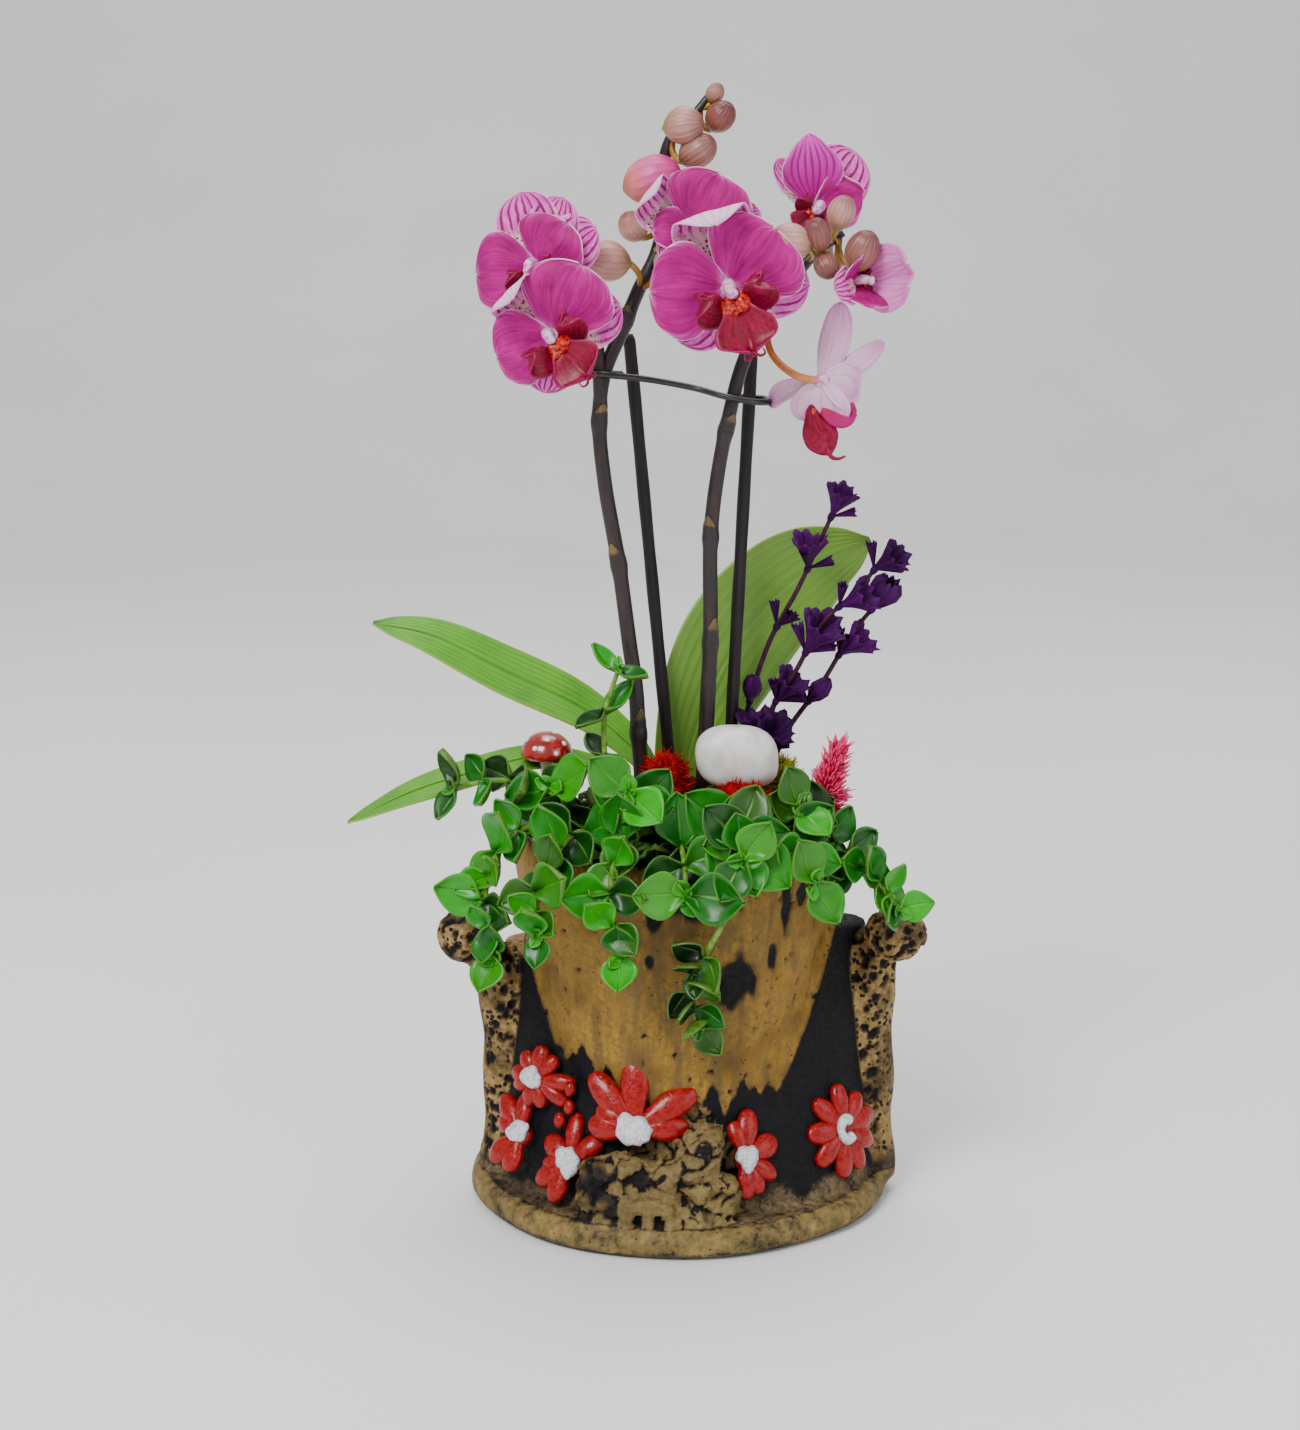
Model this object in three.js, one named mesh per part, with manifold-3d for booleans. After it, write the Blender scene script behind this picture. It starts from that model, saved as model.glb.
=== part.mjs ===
// Moth orchid with two spikes, planted with a creeping plant and dried ornaments
// in a cast tree-stump planter. Millimetres, +Z up, front towards -Y, origin at the
// centre of the base underside.
import * as THREE from 'three';
import { mergeVertices } from 'three/addons/utils/BufferGeometryUtils.js';
import Module from 'manifold-3d';

const wasm = await Module();
wasm.setup();

// Driving dimensions
const clearance = 0.3;
const baseHalfWidth = 64.5;
const baseHalfDepth = 61;
const baseThickness = 8.5;
const rimHeight = 112;
const bucketWall = 6;
const bucketFloor = 16;
const barkThickness = 1.5;
const armRadius = 6.8;
const knobRadius = 8.3;
const moundHeight = 126;
const moundEdge = 109;
const moundRadius = 42.7;
const spikeRadius = 2.3;
const stakeRadius = 1.9;
const clipRadius = 0.9;
const petalThickness = 0.8;
const leafThickness = 0.8;
const strapThickness = 1.4;
const creeperStem = 1.1;
const sprigStem = 0.9;

// Small tools: vectors, repeatable variation, smooth steps
const v3 = (x, y, z) => new THREE.Vector3(x, y, z);
const mix = (a, b, t) => a + (b - a) * t;
const clamp = (x, a, b) => Math.min(b, Math.max(a, x));
const radians = (degrees) => degrees * Math.PI / 180;

function vary(k) {
  const s = Math.sin(k * 12.9898 + 4.1414) * 43758.5453;
  return s - Math.floor(s);
}

function smooth(a, b, x) {
  const t = clamp((x - a) / (b - a), 0, 1);
  return t * t * (3 - 2 * t);
}

// Value at x on a line through the given pairs
function along(pairs, x) {
  for (let i = 1; i < pairs.length; i += 1) {
    if (x <= pairs[i][0]) {
      const [x0, y0] = pairs[i - 1];
      const [x1, y1] = pairs[i];
      return mix(y0, y1, clamp((x - x0) / (x1 - x0), 0, 1));
    }
  }
  return pairs[pairs.length - 1][1];
}

// Closed triangle meshes become solids, and solids become meshes again
function solidOf(geometry, weld = 1e-4) {
  const bare = geometry.clone();
  bare.deleteAttribute('normal');
  bare.deleteAttribute('uv');
  const merged = mergeVertices(bare, weld);
  const points = merged.attributes.position.array;
  const corners = [];
  let volume = 0;
  for (let i = 0; i < merged.index.count; i += 3) {
    const a = merged.index.getX(i);
    const b = merged.index.getX(i + 1);
    const c = merged.index.getX(i + 2);
    if (a === b || b === c || a === c) continue;
    corners.push(a, b, c);
    const p = v3(points[3 * a], points[3 * a + 1], points[3 * a + 2]);
    const q = v3(points[3 * b], points[3 * b + 1], points[3 * b + 2]);
    const r = v3(points[3 * c], points[3 * c + 1], points[3 * c + 2]);
    volume += p.dot(q.cross(r));
  }
  if (volume < 0) {
    for (let i = 0; i < corners.length; i += 3) {
      [corners[i], corners[i + 1]] = [corners[i + 1], corners[i]];
    }
  }
  return new wasm.Manifold(new wasm.Mesh({
    numProp: 3,
    vertProperties: new Float32Array(points),
    triVerts: new Uint32Array(corners),
  }));
}

function geometryOf(solid) {
  const mesh = solid.getMesh();
  const geometry = new THREE.BufferGeometry();
  const points = new Float32Array(mesh.numVert * 3);
  for (let i = 0; i < mesh.numVert; i += 1) {
    for (let k = 0; k < 3; k += 1) points[3 * i + k] = mesh.vertProperties[i * mesh.numProp + k];
  }
  geometry.setAttribute('position', new THREE.BufferAttribute(points, 3));
  geometry.setIndex(new THREE.BufferAttribute(new Uint32Array(mesh.triVerts), 1));
  geometry.computeVertexNormals();
  return geometry;
}

const fuse = (solids) => wasm.Manifold.union(solids);

function moved(geometry, change) {
  const position = geometry.attributes.position;
  const p = v3(0, 0, 0);
  for (let i = 0; i < position.count; i += 1) {
    p.fromBufferAttribute(position, i);
    change(p, i);
    position.setXYZ(i, p.x, p.y, p.z);
  }
  return geometry;
}

// Round rod along a smooth line: a cylinder whose rings are carried onto the line
function rod(points, radius, sides, steps, g = 0) {
  const curve = new THREE.CatmullRomCurve3(points);
  const frames = curve.computeFrenetFrames(steps, false);
  const centres = curve.getSpacedPoints(steps);
  const body = new THREE.CylinderGeometry(1, 1, 1, sides, steps);
  moved(body, (p) => {
    const i = Math.round((0.5 - p.y) * steps);
    const r = (typeof radius === 'number' ? radius : radius(i / steps)) + g;
    const x = p.x * r;
    const z = p.z * r;
    p.copy(centres[i]);
    if (g > 0 && i === 0) p.addScaledVector(frames.tangents[0], -g);
    if (g > 0 && i === steps) p.addScaledVector(frames.tangents[steps], g);
    p.addScaledVector(frames.normals[i], x);
    p.addScaledVector(frames.binormals[i], z);
  });
  return solidOf(body);
}

// Egg or pebble: a ball with three radii, turned so that its long axis lies on `axis`
function ball(centre, radii, detail, axis = v3(0, 0, 1), g = 0, rough = 0) {
  const body = new THREE.IcosahedronGeometry(1, detail);
  const turn = new THREE.Quaternion().setFromUnitVectors(v3(0, 0, 1), axis.clone().normalize());
  moved(body, (p) => {
    const k = Math.round(p.x * 37 + p.y * 59 + p.z * 83);
    const swell = 1 + rough * (vary(k) - 0.5);
    p.set(p.x * (radii[0] * swell + g), p.y * (radii[1] * swell + g), p.z * (radii[2] * swell + g));
    p.applyQuaternion(turn).add(centre);
  });
  return solidOf(body);
}

// Plain lump of few faces with its long side on `axis`
function lump(centre, radii, axis, g = 0, sides = 6, rings = 4) {
  const body = new THREE.SphereGeometry(1, sides, rings);
  const turn = new THREE.Quaternion().setFromUnitVectors(v3(0, 1, 0), axis.clone().normalize());
  moved(body, (p) => {
    p.set(p.x * (radii[0] + g), p.y * (radii[2] + g), p.z * (radii[1] + g));
    p.applyQuaternion(turn).add(centre);
  });
  return solidOf(body);
}

// Tuft: a cup whose rim rises in points round the stem
function tuft(centre, way, reach, points, g = 0) {
  const body = new THREE.CylinderGeometry(1, 0.3, 1, points * 2, 1);
  const turn = new THREE.Quaternion().setFromUnitVectors(v3(0, 1, 0), way.clone().normalize());
  moved(body, (p) => {
    const i = Math.round(Math.atan2(p.z, p.x) / Math.PI * points);
    const point = i % 2 === 0;
    const flat = Math.hypot(p.x, p.z);
    const top = p.y > 0.4;
    const lift = top && flat > 0.1 ? (point ? 0.95 : 0.35) : (top ? 0.3 : p.y * 0.9);
    const wide = flat > 0.1 ? reach * (top ? (point ? 0.8 : 0.5) : flat * 0.75) + g : 0;
    const k = flat > 0.1 ? wide / flat : 0;
    p.set(p.x * k, lift * reach + (top ? g : -g), p.z * k).applyQuaternion(turn).add(centre);
  });
  return solidOf(body);
}

// Thin blade along a line: u runs to the tip, v across; both faces are split alike
function blade(spec, g = 0) {
  const { points, side, half, outline, cup = () => 0, rows, columns } = spec;
  const thickness = (spec.thickness ?? petalThickness) + 2 * g;
  const curve = new THREE.CatmullRomCurve3(points);
  const middle = (u, v) => {
    const t = clamp(u, 0, 1);
    const p = curve.getPointAt(t);
    const tangent = curve.getTangentAt(t);
    const s = side.clone().addScaledVector(tangent, -side.dot(tangent)).normalize();
    const n = tangent.clone().cross(s);
    if (g > 0) p.addScaledVector(tangent, (u - 0.5) * 2 * g);
    return p.addScaledVector(s, v * (half * outline(t) + g)).addScaledVector(n, cup(t, v));
  };
  const plane = new THREE.PlaneGeometry(1, 2, rows, columns);
  const grid = plane.attributes.position;
  const count = grid.count;
  const points3 = new Float32Array(count * 6);
  const step = 0.01;
  for (let i = 0; i < count; i += 1) {
    const u = spec.even ? grid.getX(i) + 0.5 : 1 - (0.5 - grid.getX(i)) ** 1.25;
    const v = grid.getY(i);
    const p = middle(u, v);
    const du = middle(Math.min(1, u + step), v).sub(middle(Math.max(0, u - step), v));
    const dv = middle(u, v + step).sub(middle(u, v - step));
    const n = du.cross(dv).normalize();
    for (let k = 0; k < 3; k += 1) {
      const c = p.getComponent(k);
      points3[3 * i + k] = c + n.getComponent(k) * thickness / 2;
      points3[3 * (i + count) + k] = c - n.getComponent(k) * thickness / 2;
    }
  }
  const faces = [];
  for (let i = 0; i < plane.index.count; i += 3) {
    const a = plane.index.getX(i);
    const b = plane.index.getX(i + 1);
    const c = plane.index.getX(i + 2);
    faces.push(a, b, c, a + count, c + count, b + count);
  }
  const wide = rows + 1;
  const rim = [];
  for (let i = 0; i < rows; i += 1) rim.push(columns * wide + i);
  for (let j = columns; j > 0; j -= 1) rim.push(j * wide + rows);
  for (let i = rows; i > 0; i -= 1) rim.push(i);
  for (let j = 0; j < columns; j += 1) rim.push(j * wide);
  rim.forEach((p, i) => {
    const q = rim[(i + 1) % rim.length];
    faces.push(p + count, q + count, q, p + count, q, p);
  });
  const shell = new THREE.BufferGeometry();
  shell.setAttribute('position', new THREE.BufferAttribute(points3, 3));
  shell.setIndex(faces);
  return solidOf(shell);
}

// Outlines of blades: share of the half width at u
const sepalOutline = (u) => along([[0, 0.3], [0.3, 0.85], [0.55, 1], [0.8, 0.8], [1, 0.22]], u);
const petalOutline = (u) => along([[0, 0.22], [0.25, 0.78], [0.55, 1], [0.82, 0.86], [1, 0.42]], u);
const leafletOutline = (u) => along([[0, 0.22], [0.34, 0.95], [0.5, 1], [0.67, 0.9], [1, 0.12]], u);
const strapOutline = (u) => along([[0, 0.35], [0.2, 0.6], [0.5, 1], [0.75, 0.9], [0.92, 0.5],
  [1, 0.08]], u);

// Materials
const paints = {
  cast: new THREE.MeshStandardMaterial({ color: 0x8a6a32, roughness: 0.75, metalness: 0 }),
  redPaint: new THREE.MeshStandardMaterial({ color: 0xd2100f, roughness: 0.3, metalness: 0 }),
  silverPaint: new THREE.MeshStandardMaterial({ color: 0xdfe0e6, roughness: 0.45, metalness: 0.3 }),
  soil: new THREE.MeshStandardMaterial({ color: 0x3a2c20, roughness: 0.95, metalness: 0 }),
  strapLeaf: new THREE.MeshStandardMaterial({ color: 0x6cae3c, roughness: 0.4, metalness: 0 }),
  spike: new THREE.MeshStandardMaterial({ color: 0x3a2728, roughness: 0.5, metalness: 0 }),
  stake: new THREE.MeshStandardMaterial({ color: 0x1b1518, roughness: 0.5, metalness: 0 }),
  wire: new THREE.MeshStandardMaterial({ color: 0x141214, roughness: 0.35, metalness: 0 }),
  tepal: new THREE.MeshStandardMaterial({ color: 0xd32bb0, roughness: 0.5, metalness: 0 }),
  paleTepal: new THREE.MeshStandardMaterial({ color: 0xeab4dd, roughness: 0.5, metalness: 0 }),
  lip: new THREE.MeshStandardMaterial({ color: 0xa60536, roughness: 0.4, metalness: 0 }),
  creeper: new THREE.MeshStandardMaterial({ color: 0x2f8f20, roughness: 0.45, metalness: 0 }),
  darkCreeper: new THREE.MeshStandardMaterial({ color: 0x3c6a2a, roughness: 0.5, metalness: 0 }),
  violet: new THREE.MeshStandardMaterial({ color: 0x34154f, roughness: 0.8, metalness: 0 }),
  plume: new THREE.MeshStandardMaterial({ color: 0xee2b6c, roughness: 0.8, metalness: 0 }),
  pebble: new THREE.MeshStandardMaterial({ color: 0xf0ecea, roughness: 0.35, metalness: 0 }),
  capRed: new THREE.MeshStandardMaterial({ color: 0xd8150f, roughness: 0.2, metalness: 0 }),
  stalk: new THREE.MeshStandardMaterial({ color: 0xe9e2cf, roughness: 0.6, metalness: 0 }),
  redMoss: new THREE.MeshStandardMaterial({ color: 0xd8120c, roughness: 0.95, metalness: 0 }),
  yellowMoss: new THREE.MeshStandardMaterial({ color: 0x9c9a26, roughness: 0.95, metalness: 0 }),
};

// Named pieces are kept in order; each is trimmed clear of the pieces before it
const group = new THREE.Group();
group.name = 'moth_orchid_in_basket';
const kept = [];

function meets(a, b) {
  const p = a.boundingBox();
  const q = b.boundingBox();
  for (let k = 0; k < 3; k += 1) {
    if (p.max[k] < q.min[k] || q.max[k] < p.min[k]) return false;
  }
  return true;
}

// The main body of a solid, without loose scraps
function largest(solid) {
  const parts = solid.decompose();
  return parts.reduce((best, part) => (part.volume() > best.volume() ? part : best));
}

function keep(name, paint, make) {
  let solid = make(0);
  for (const other of kept) {
    if (meets(solid, other.fat)) solid = solid.subtract(other.fat);
  }
  solid = largest(solidOf(geometryOf(largest(solid)), 1e-3));
  const fat = make(clearance);
  kept.push({ name, fat });
  const mesh = new THREE.Mesh(geometryOf(solid), paints[paint]);
  mesh.name = name;
  group.add(mesh);
}

// Planter

// Outer radius of the trunk at a height
const trunkLine = [[7, 50], [12, 47], [20, 43], [30, 40.5], [42, 39.5], [55, 40], [70, 41.8],
  [85, 44.2], [100, 46.6], [108, 47.6], [112, 47]];
const trunkRadius = (z) => along(trunkLine, z);

// Lower edge of the raised bark face, jagged round the trunk
function barkEdge(angle) {
  const a = angle * 180 / Math.PI;
  const tooth = Math.abs(((a * 0.071 + 100) % 1) - 0.5) * 2;
  const wave = 6 * Math.sin(angle * 2 + 0.6) + 4 * Math.sin(angle * 5 + 1);
  return 46 + wave * 0.8 - 9 * tooth;
}

function lathe(line, segments) {
  const profile = line.map(([r, z]) => new THREE.Vector2(r, z));
  const body = new THREE.LatheGeometry(profile, segments);
  body.rotateX(Math.PI / 2);
  return moved(body, (p) => {
    p.y = -p.y;
    if (Math.hypot(p.x, p.y) < 1e-6) p.set(0, 0, p.z);
  });
}

function trunk(g) {
  const heights = [6, 14, 26, 36, 43, 50, 60, 80, 109];
  const line = [[0, 6]];
  heights.forEach((z) => line.push([trunkRadius(z) + g, z]));
  line.push([trunkRadius(112) - 1.4 + g, rimHeight + g], [0, rimHeight + g]);
  const body = moved(lathe(line, 26), (p) => {
    const r = Math.hypot(p.x, p.y);
    if (r < 20 || p.z < 10) return;
    const angle = Math.atan2(p.y, p.x);
    const bark = barkThickness * smooth(-3, 3, p.z - barkEdge(angle)) * (1 - 0.5 * smooth(104, 112, p.z));
    const swell = 0.6 * Math.sin(angle * 3 + p.z * 0.05) + 0.4 * Math.sin(angle * 7 - p.z * 0.08);
    const more = (r + bark + swell) / r;
    p.x *= more;
    p.y *= more;
  });
  return solidOf(body);
}

// Side webs: one flat oval column whose depth shrinks upwards
function webs(g) {
  const body = new THREE.CylinderGeometry(1, 1, 1, 18, 4);
  moved(body, (p) => {
    const t = p.y + 0.5;
    const z = mix(5, 80, t);
    const halfWidth = along([[5, 60], [20, 57.5], [45, 56], [80, 55]], z) + g;
    const halfDepth = along([[5, 48], [20, 44], [35, 39], [50, 33], [65, 27], [80, 17]], z) + g;
    const x = p.x * halfWidth + 2;
    const y = -p.z * halfDepth;
    const dip = smooth(70, 80, z) * (x > 0 ? 5 : -1);
    p.set(x, y, z + dip + (t > 0.99 ? g : 0));
  });
  return solidOf(body);
}

const armLeft = [v3(-53, -5, 5), v3(-53, -5, 30), v3(-53.5, -6, 58), v3(-56, -7, 72), v3(-61, -9, 80)];
const armRight = [v3(58.5, -5, 5), v3(59, -5, 34), v3(58.6, -6, 62), v3(60, -7, 76), v3(63, -9, 82)];
const armWidth = (t) => armRadius + 1.6 * smooth(0.25, 0, t) + 0.35 * Math.sin(t * 19);

const rocks = [
  { at: v3(5, -47, 28), size: [10.5, 6, 10], axis: v3(0.5, -0.2, 0.8) },
  { at: v3(-4, -48, 19), size: [7, 6.5, 9], axis: v3(0.6, -0.3, 0.5) },
  { at: v3(-14, -47.5, 21), size: [9, 6, 7], axis: v3(0.3, -0.5, 0.8) },
  { at: v3(-24, -46.5, 20), size: [6.5, 6, 7], axis: v3(-0.3, -0.3, 0.9) },
  { at: v3(-25.5, -48, 13), size: [5, 6, 7], axis: v3(-0.4, -0.4, 0.8) },
  { at: v3(-13, -50, 13), size: [10, 6, 6], axis: v3(0, -0.4, 0.9) },
  { at: v3(8, -49, 17), size: [9.5, 6, 8], axis: v3(0.2, -0.5, 0.8) },
  { at: v3(4, -50, 11), size: [12, 6, 5], axis: v3(0, -0.2, 1) },
];

function notchedBlock(g) {
  const outline = new THREE.Shape();
  outline.moveTo(-7.5 - g, -0.6);
  outline.lineTo(-5 + g, -0.6);
  outline.lineTo(-5 + g, 2);
  outline.absarc(-3.6, 2.4, 1.4 - g, Math.PI, 0, true);
  outline.lineTo(-2.2 - g, -0.6);
  outline.lineTo(1 + g, -0.6);
  outline.lineTo(1 + g, 2);
  outline.absarc(2.4, 2.4, 1.4 - g, Math.PI, 0, true);
  outline.lineTo(3.8 - g, -0.6);
  outline.lineTo(6.8 + g, -0.6);
  outline.lineTo(7.2 + g, 7 + g);
  outline.lineTo(1, 8.6 + g);
  outline.lineTo(-7 - g, 8.2 + g);
  const body = new THREE.ExtrudeGeometry(outline, { depth: 7 + g, bevelEnabled: false, curveSegments: 4 });
  body.rotateX(Math.PI / 2);
  body.rotateZ(radians(-4));
  body.translate(-8.8, -50.5, baseThickness);
  return solidOf(body);
}

function planter(g) {
  const plate = moved(lathe([[0, -g], [62 + g, -g], [64.6 + g, 3],
    [63 + g, baseThickness + g], [0, baseThickness + g]], 40), (p) => {
    const angle = Math.atan2(p.y, p.x);
    const edge = 1 + 0.008 * Math.sin(angle * 3 + 1) + 0.005 * Math.sin(angle * 8);
    p.x *= edge;
    p.y *= edge * baseHalfDepth / baseHalfWidth;
  });
  const pieces = [
    solidOf(plate),
    trunk(g),
    webs(g),
    rod(armLeft, armWidth, 8, 5, g),
    rod(armRight, armWidth, 8, 5, g),
    ball(v3(-64.5, -10, 82.7), [knobRadius, knobRadius, knobRadius], 1, v3(0, 0, 1), g, 0.06),
    ball(v3(65.2, -10, 83), [knobRadius, knobRadius, 9.6], 1, v3(1, 0, 0.1), g, 0.06),
    notchedBlock(g),
  ];
  rocks.forEach((rock) => {
    pieces.push(ball(rock.at, rock.size, rock.size[0] > 10 ? 1 : 0, rock.axis, g, 0.32));
  });
  const inner = [[0, bucketFloor + g], [34 - g, bucketFloor + g]];
  [45, 75, 108].forEach((z) => inner.push([trunkRadius(z) - bucketWall - g, z]));
  inner.push([trunkRadius(108) - bucketWall + 1 - g, rimHeight + 12], [0, rimHeight + 12]);
  return fuse(pieces).subtract(solidOf(lathe(inner, 20)));
}

// Relief flowers: petals given as angle, length and width on the slope of the trunk
const reliefFlowers = [
  { at: v3(-41.4, -23.9, 42.6), out: v3(-0.55, -0.8, 0.2), centre: 3.8,
    petals: [[85, 9.5, 5], [50, 9, 4.6], [2, 12.5, 4.6], [-28, 12, 4.2], [-70, 8.5, 4.4], [-105, 8.5, 4.6],
      [178, 8.8, 5], [205, 8, 4.6], [130, 8.5, 4.8]] },
  { at: v3(-46.3, -25.5, 25), out: v3(-0.5, -0.75, 0.45), centre: 4,
    petals: [[135, 14, 5.6], [98, 12, 5], [228, 12, 6.2], [264, 11, 6], [160, 9, 5]] },
  { at: v3(-31.5, -36.8, 20.5), out: v3(-0.4, -0.8, 0.45), centre: 4.2,
    petals: [[93, 14.5, 4.8], [46, 11.5, 5.6], [146, 10.5, 6], [217, 11.5, 5.8], [254, 12, 5.6],
      [190, 8, 5]] },
  { at: v3(-13, -41.5, 33), out: v3(-0.12, -0.95, 0.3), centre: 5.4,
    petals: [[131, 20, 7], [92, 21, 7.4], [35, 20, 7.6], [4, 15, 6.4], [176, 13, 7.4], [152, 12, 7]] },
  { at: v3(18.3, -41.2, 24.2), out: v3(0.3, -0.88, 0.36), centre: 4,
    petals: [[78, 13.5, 5.6], [103, 10.5, 5], [20, 10.5, 6.4], [-38, 10.5, 5], [-72, 11, 4.6],
      [-95, 11.5, 5.4]] },
  { at: v3(47.5, -25, 27), out: v3(0.55, -0.78, 0.25), centre: 4.2,
    petals: [[88, 13, 5.2], [48, 12, 5.4], [12, 12.5, 6.2], [-30, 12, 5.6], [-68, 13.5, 5.4],
      [-98, 14, 5.6],
      [-138, 13, 5.6], [178, 11.5, 6], [130, 12.5, 5.4]] },
];

function reliefBasis(flower) {
  const out = flower.out.clone().normalize();
  const right = v3(0, 0, 1).cross(out).normalize();
  const up = out.clone().cross(right).normalize();
  return { out, right, up };
}

// Meridians of a star: four for each petal, so that it has blunt ends and clear gaps
function starRays(flower) {
  const petals = [...flower.petals].map(([a, length, width]) => [(a + 360) % 360, length, width]);
  petals.sort((p, q) => p[0] - q[0]);
  const rays = [];
  petals.forEach(([a, length, width], i) => {
    const before = petals[(i + petals.length - 1) % petals.length][0];
    const after = petals[(i + 1) % petals.length][0];
    const room = Math.min((a - before + 360) % 360, (after - a + 360) % 360) / 2;
    const half = Math.min(Math.atan(1.15 * width / length) * 180 / Math.PI, room * 0.94);
    rays.push([a - half, length * 0.45], [a - half * 0.7, length], [a + half * 0.7, length],
      [a + half, length * 0.45]);
  });
  return rays;
}

// One raised star: a flattened ball whose reach swells to each petal, bent back with the trunk
function reliefPetals(flower, g) {
  const { out, right, up } = reliefBasis(flower);
  const rays = starRays(flower);
  const body = new THREE.SphereGeometry(1, rays.length, 3);
  moved(body, (p) => {
    const flat = Math.hypot(p.x, p.z);
    const turn = (Math.atan2(p.z, -p.x) / (2 * Math.PI) + 1) % 1;
    const [angle, reach] = rays[Math.round(turn * rays.length) % rays.length];
    const d = flat * (reach * 1.12 + g);
    const x = d * Math.cos(radians(angle));
    const y = d * Math.sin(radians(angle));
    const lift = p.y * ((p.y > 0 ? 2.8 : 0.8) + g) + 1.1 - 0.009 * x * x;
    p.copy(flower.at).addScaledVector(right, x).addScaledVector(up, y).addScaledVector(out, lift);
  });
  return solidOf(body);
}

// Silver blob with a flat back, standing just clear of the petals
function reliefCentre(flower, g) {
  const { out, right, up } = reliefBasis(flower);
  const body = new THREE.SphereGeometry(1, 7, 4);
  moved(body, (p) => {
    const a = Math.atan2(p.z, p.x);
    const reach = flower.centre * (0.9 + 0.12 * Math.sin(a * 3 + flower.centre * 5)) + g;
    const x = p.x * reach * 0.85;
    const y = p.z * reach;
    const lift = 3.9 + clearance + (p.y > 0.01 ? p.y * (1.7 + g) : -g);
    p.copy(flower.at).addScaledVector(right, x).addScaledVector(up, y).addScaledVector(out, lift);
  });
  return solidOf(body);
}

keep('planter', 'cast', planter);
reliefFlowers.forEach((flower, i) => {
  keep(`relief_flower_${i + 1}`, 'redPaint', (g) => reliefPetals(flower, g));
  keep(`flower_centre_${i + 1}`, 'silverPaint', (g) => reliefCentre(flower, g));
});

// Orchid spikes, with sheath nodes, pedicels and buds
function spikeSwell(nodes, t, top) {
  let r = mix(spikeRadius, top, t);
  nodes.forEach((n) => {
    r += 0.55 * Math.exp(-(((t - n) / 0.018) ** 2));
  });
  return r;
}

const spikeLeftLine = [v3(-9, -4, 104), v3(-12, -6, 140), v3(-13, -6, 157), v3(-15, -7, 172),
  v3(-18, -8, 195), v3(-22, -9, 219), v3(-23.5, -9, 237), v3(-22, -8.5, 250), v3(-17, -7, 262),
  v3(-12, -5.5, 274), v3(-7, -5, 284), v3(-4.5, -3.5, 296), v3(-5, -2.5, 308), v3(-2.5, -3.5, 317),
  v3(3, -4, 322), v3(8, -4, 328)];
const spikeFork = [v3(-23, -9, 240), v3(-23.6, -10, 254), v3(-24, -10, 264), v3(-26, -9, 274),
  v3(-29, -9, 280)];
const spikeRightLine = [v3(6, -1, 104), v3(8, -4, 146), v3(9, -6, 172), v3(9, -8, 204), v3(11, -9, 222),
  v3(14, -10, 238), v3(17.5, -10, 252), v3(21.5, -10, 261), v3(27, -10, 269), v3(32, -11, 277),
  v3(38, -12, 284), v3(46, -12, 290)];

// Buds: centre, length, width, axis; and the point of the spike that carries them
const budsLeft = [
  { at: v3(9.5, -4, 328.5), size: [3.4, 2.6], axis: v3(0.5, 0, 0.9), from: v3(7, -4, 327) },
  { at: v3(11, -6.5, 322), size: [5, 4.2], axis: v3(0.6, -0.3, 0.7), from: v3(5.5, -4, 325) },
  { at: v3(0.5, -10, 319.5), size: [6, 5.4], axis: v3(0.9, -0.3, 0.1), from: v3(1, -4, 320) },
  { at: v3(4.5, -9, 312.5), size: [6, 4.8], axis: v3(0.8, -0.3, 0.5), from: v3(-2, -3.5, 318) },
  { at: v3(-8.5, -11, 304.5), size: [8.8, 7], axis: v3(0.9, -0.3, 0.3), from: v3(-5, -3, 303) },
  { at: v3(-13.5, -9, 291.5), size: [5, 4.2], axis: v3(-0.5, -0.5, 0.6), from: v3(-5, -4, 294) },
  { at: v3(-20.5, -15, 282), size: [6.8, 5.8], axis: v3(-0.9, -0.3, 0.1), from: v3(-12, -5.5, 274) },
  { at: v3(-2.5, -11, 292.5), size: [3.4, 2.9], axis: v3(0.3, -0.6, 0.6), from: v3(-6, -4, 288) },
  { at: v3(-4, -12, 281.5), size: [4.6, 3.8], axis: v3(0.3, -0.5, -0.6), from: v3(-7.5, -5, 283) },
];
const budsRight = [
  { at: v3(30.5, -26, 287), size: [6.4, 5.4], axis: v3(-0.8, -0.5, 0.2), from: v3(36, -12, 282) },
  { at: v3(38, -25, 289), size: [5.2, 3.8], axis: v3(-0.2, -0.4, 0.8), from: v3(38, -12, 284) },
  { at: v3(44.5, -22, 295), size: [5.2, 4], axis: v3(0.3, -0.3, 0.9), from: v3(43, -12, 288) },
  { at: v3(50.5, -22, 284.5), size: [6.4, 4.8], axis: v3(0.4, -0.4, 0.9), from: v3(44, -12, 289) },
  { at: v3(40.5, -23, 281), size: [4.6, 3.6], axis: v3(0.2, -0.5, -0.5), from: v3(40, -12, 285.5) },
];

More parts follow.
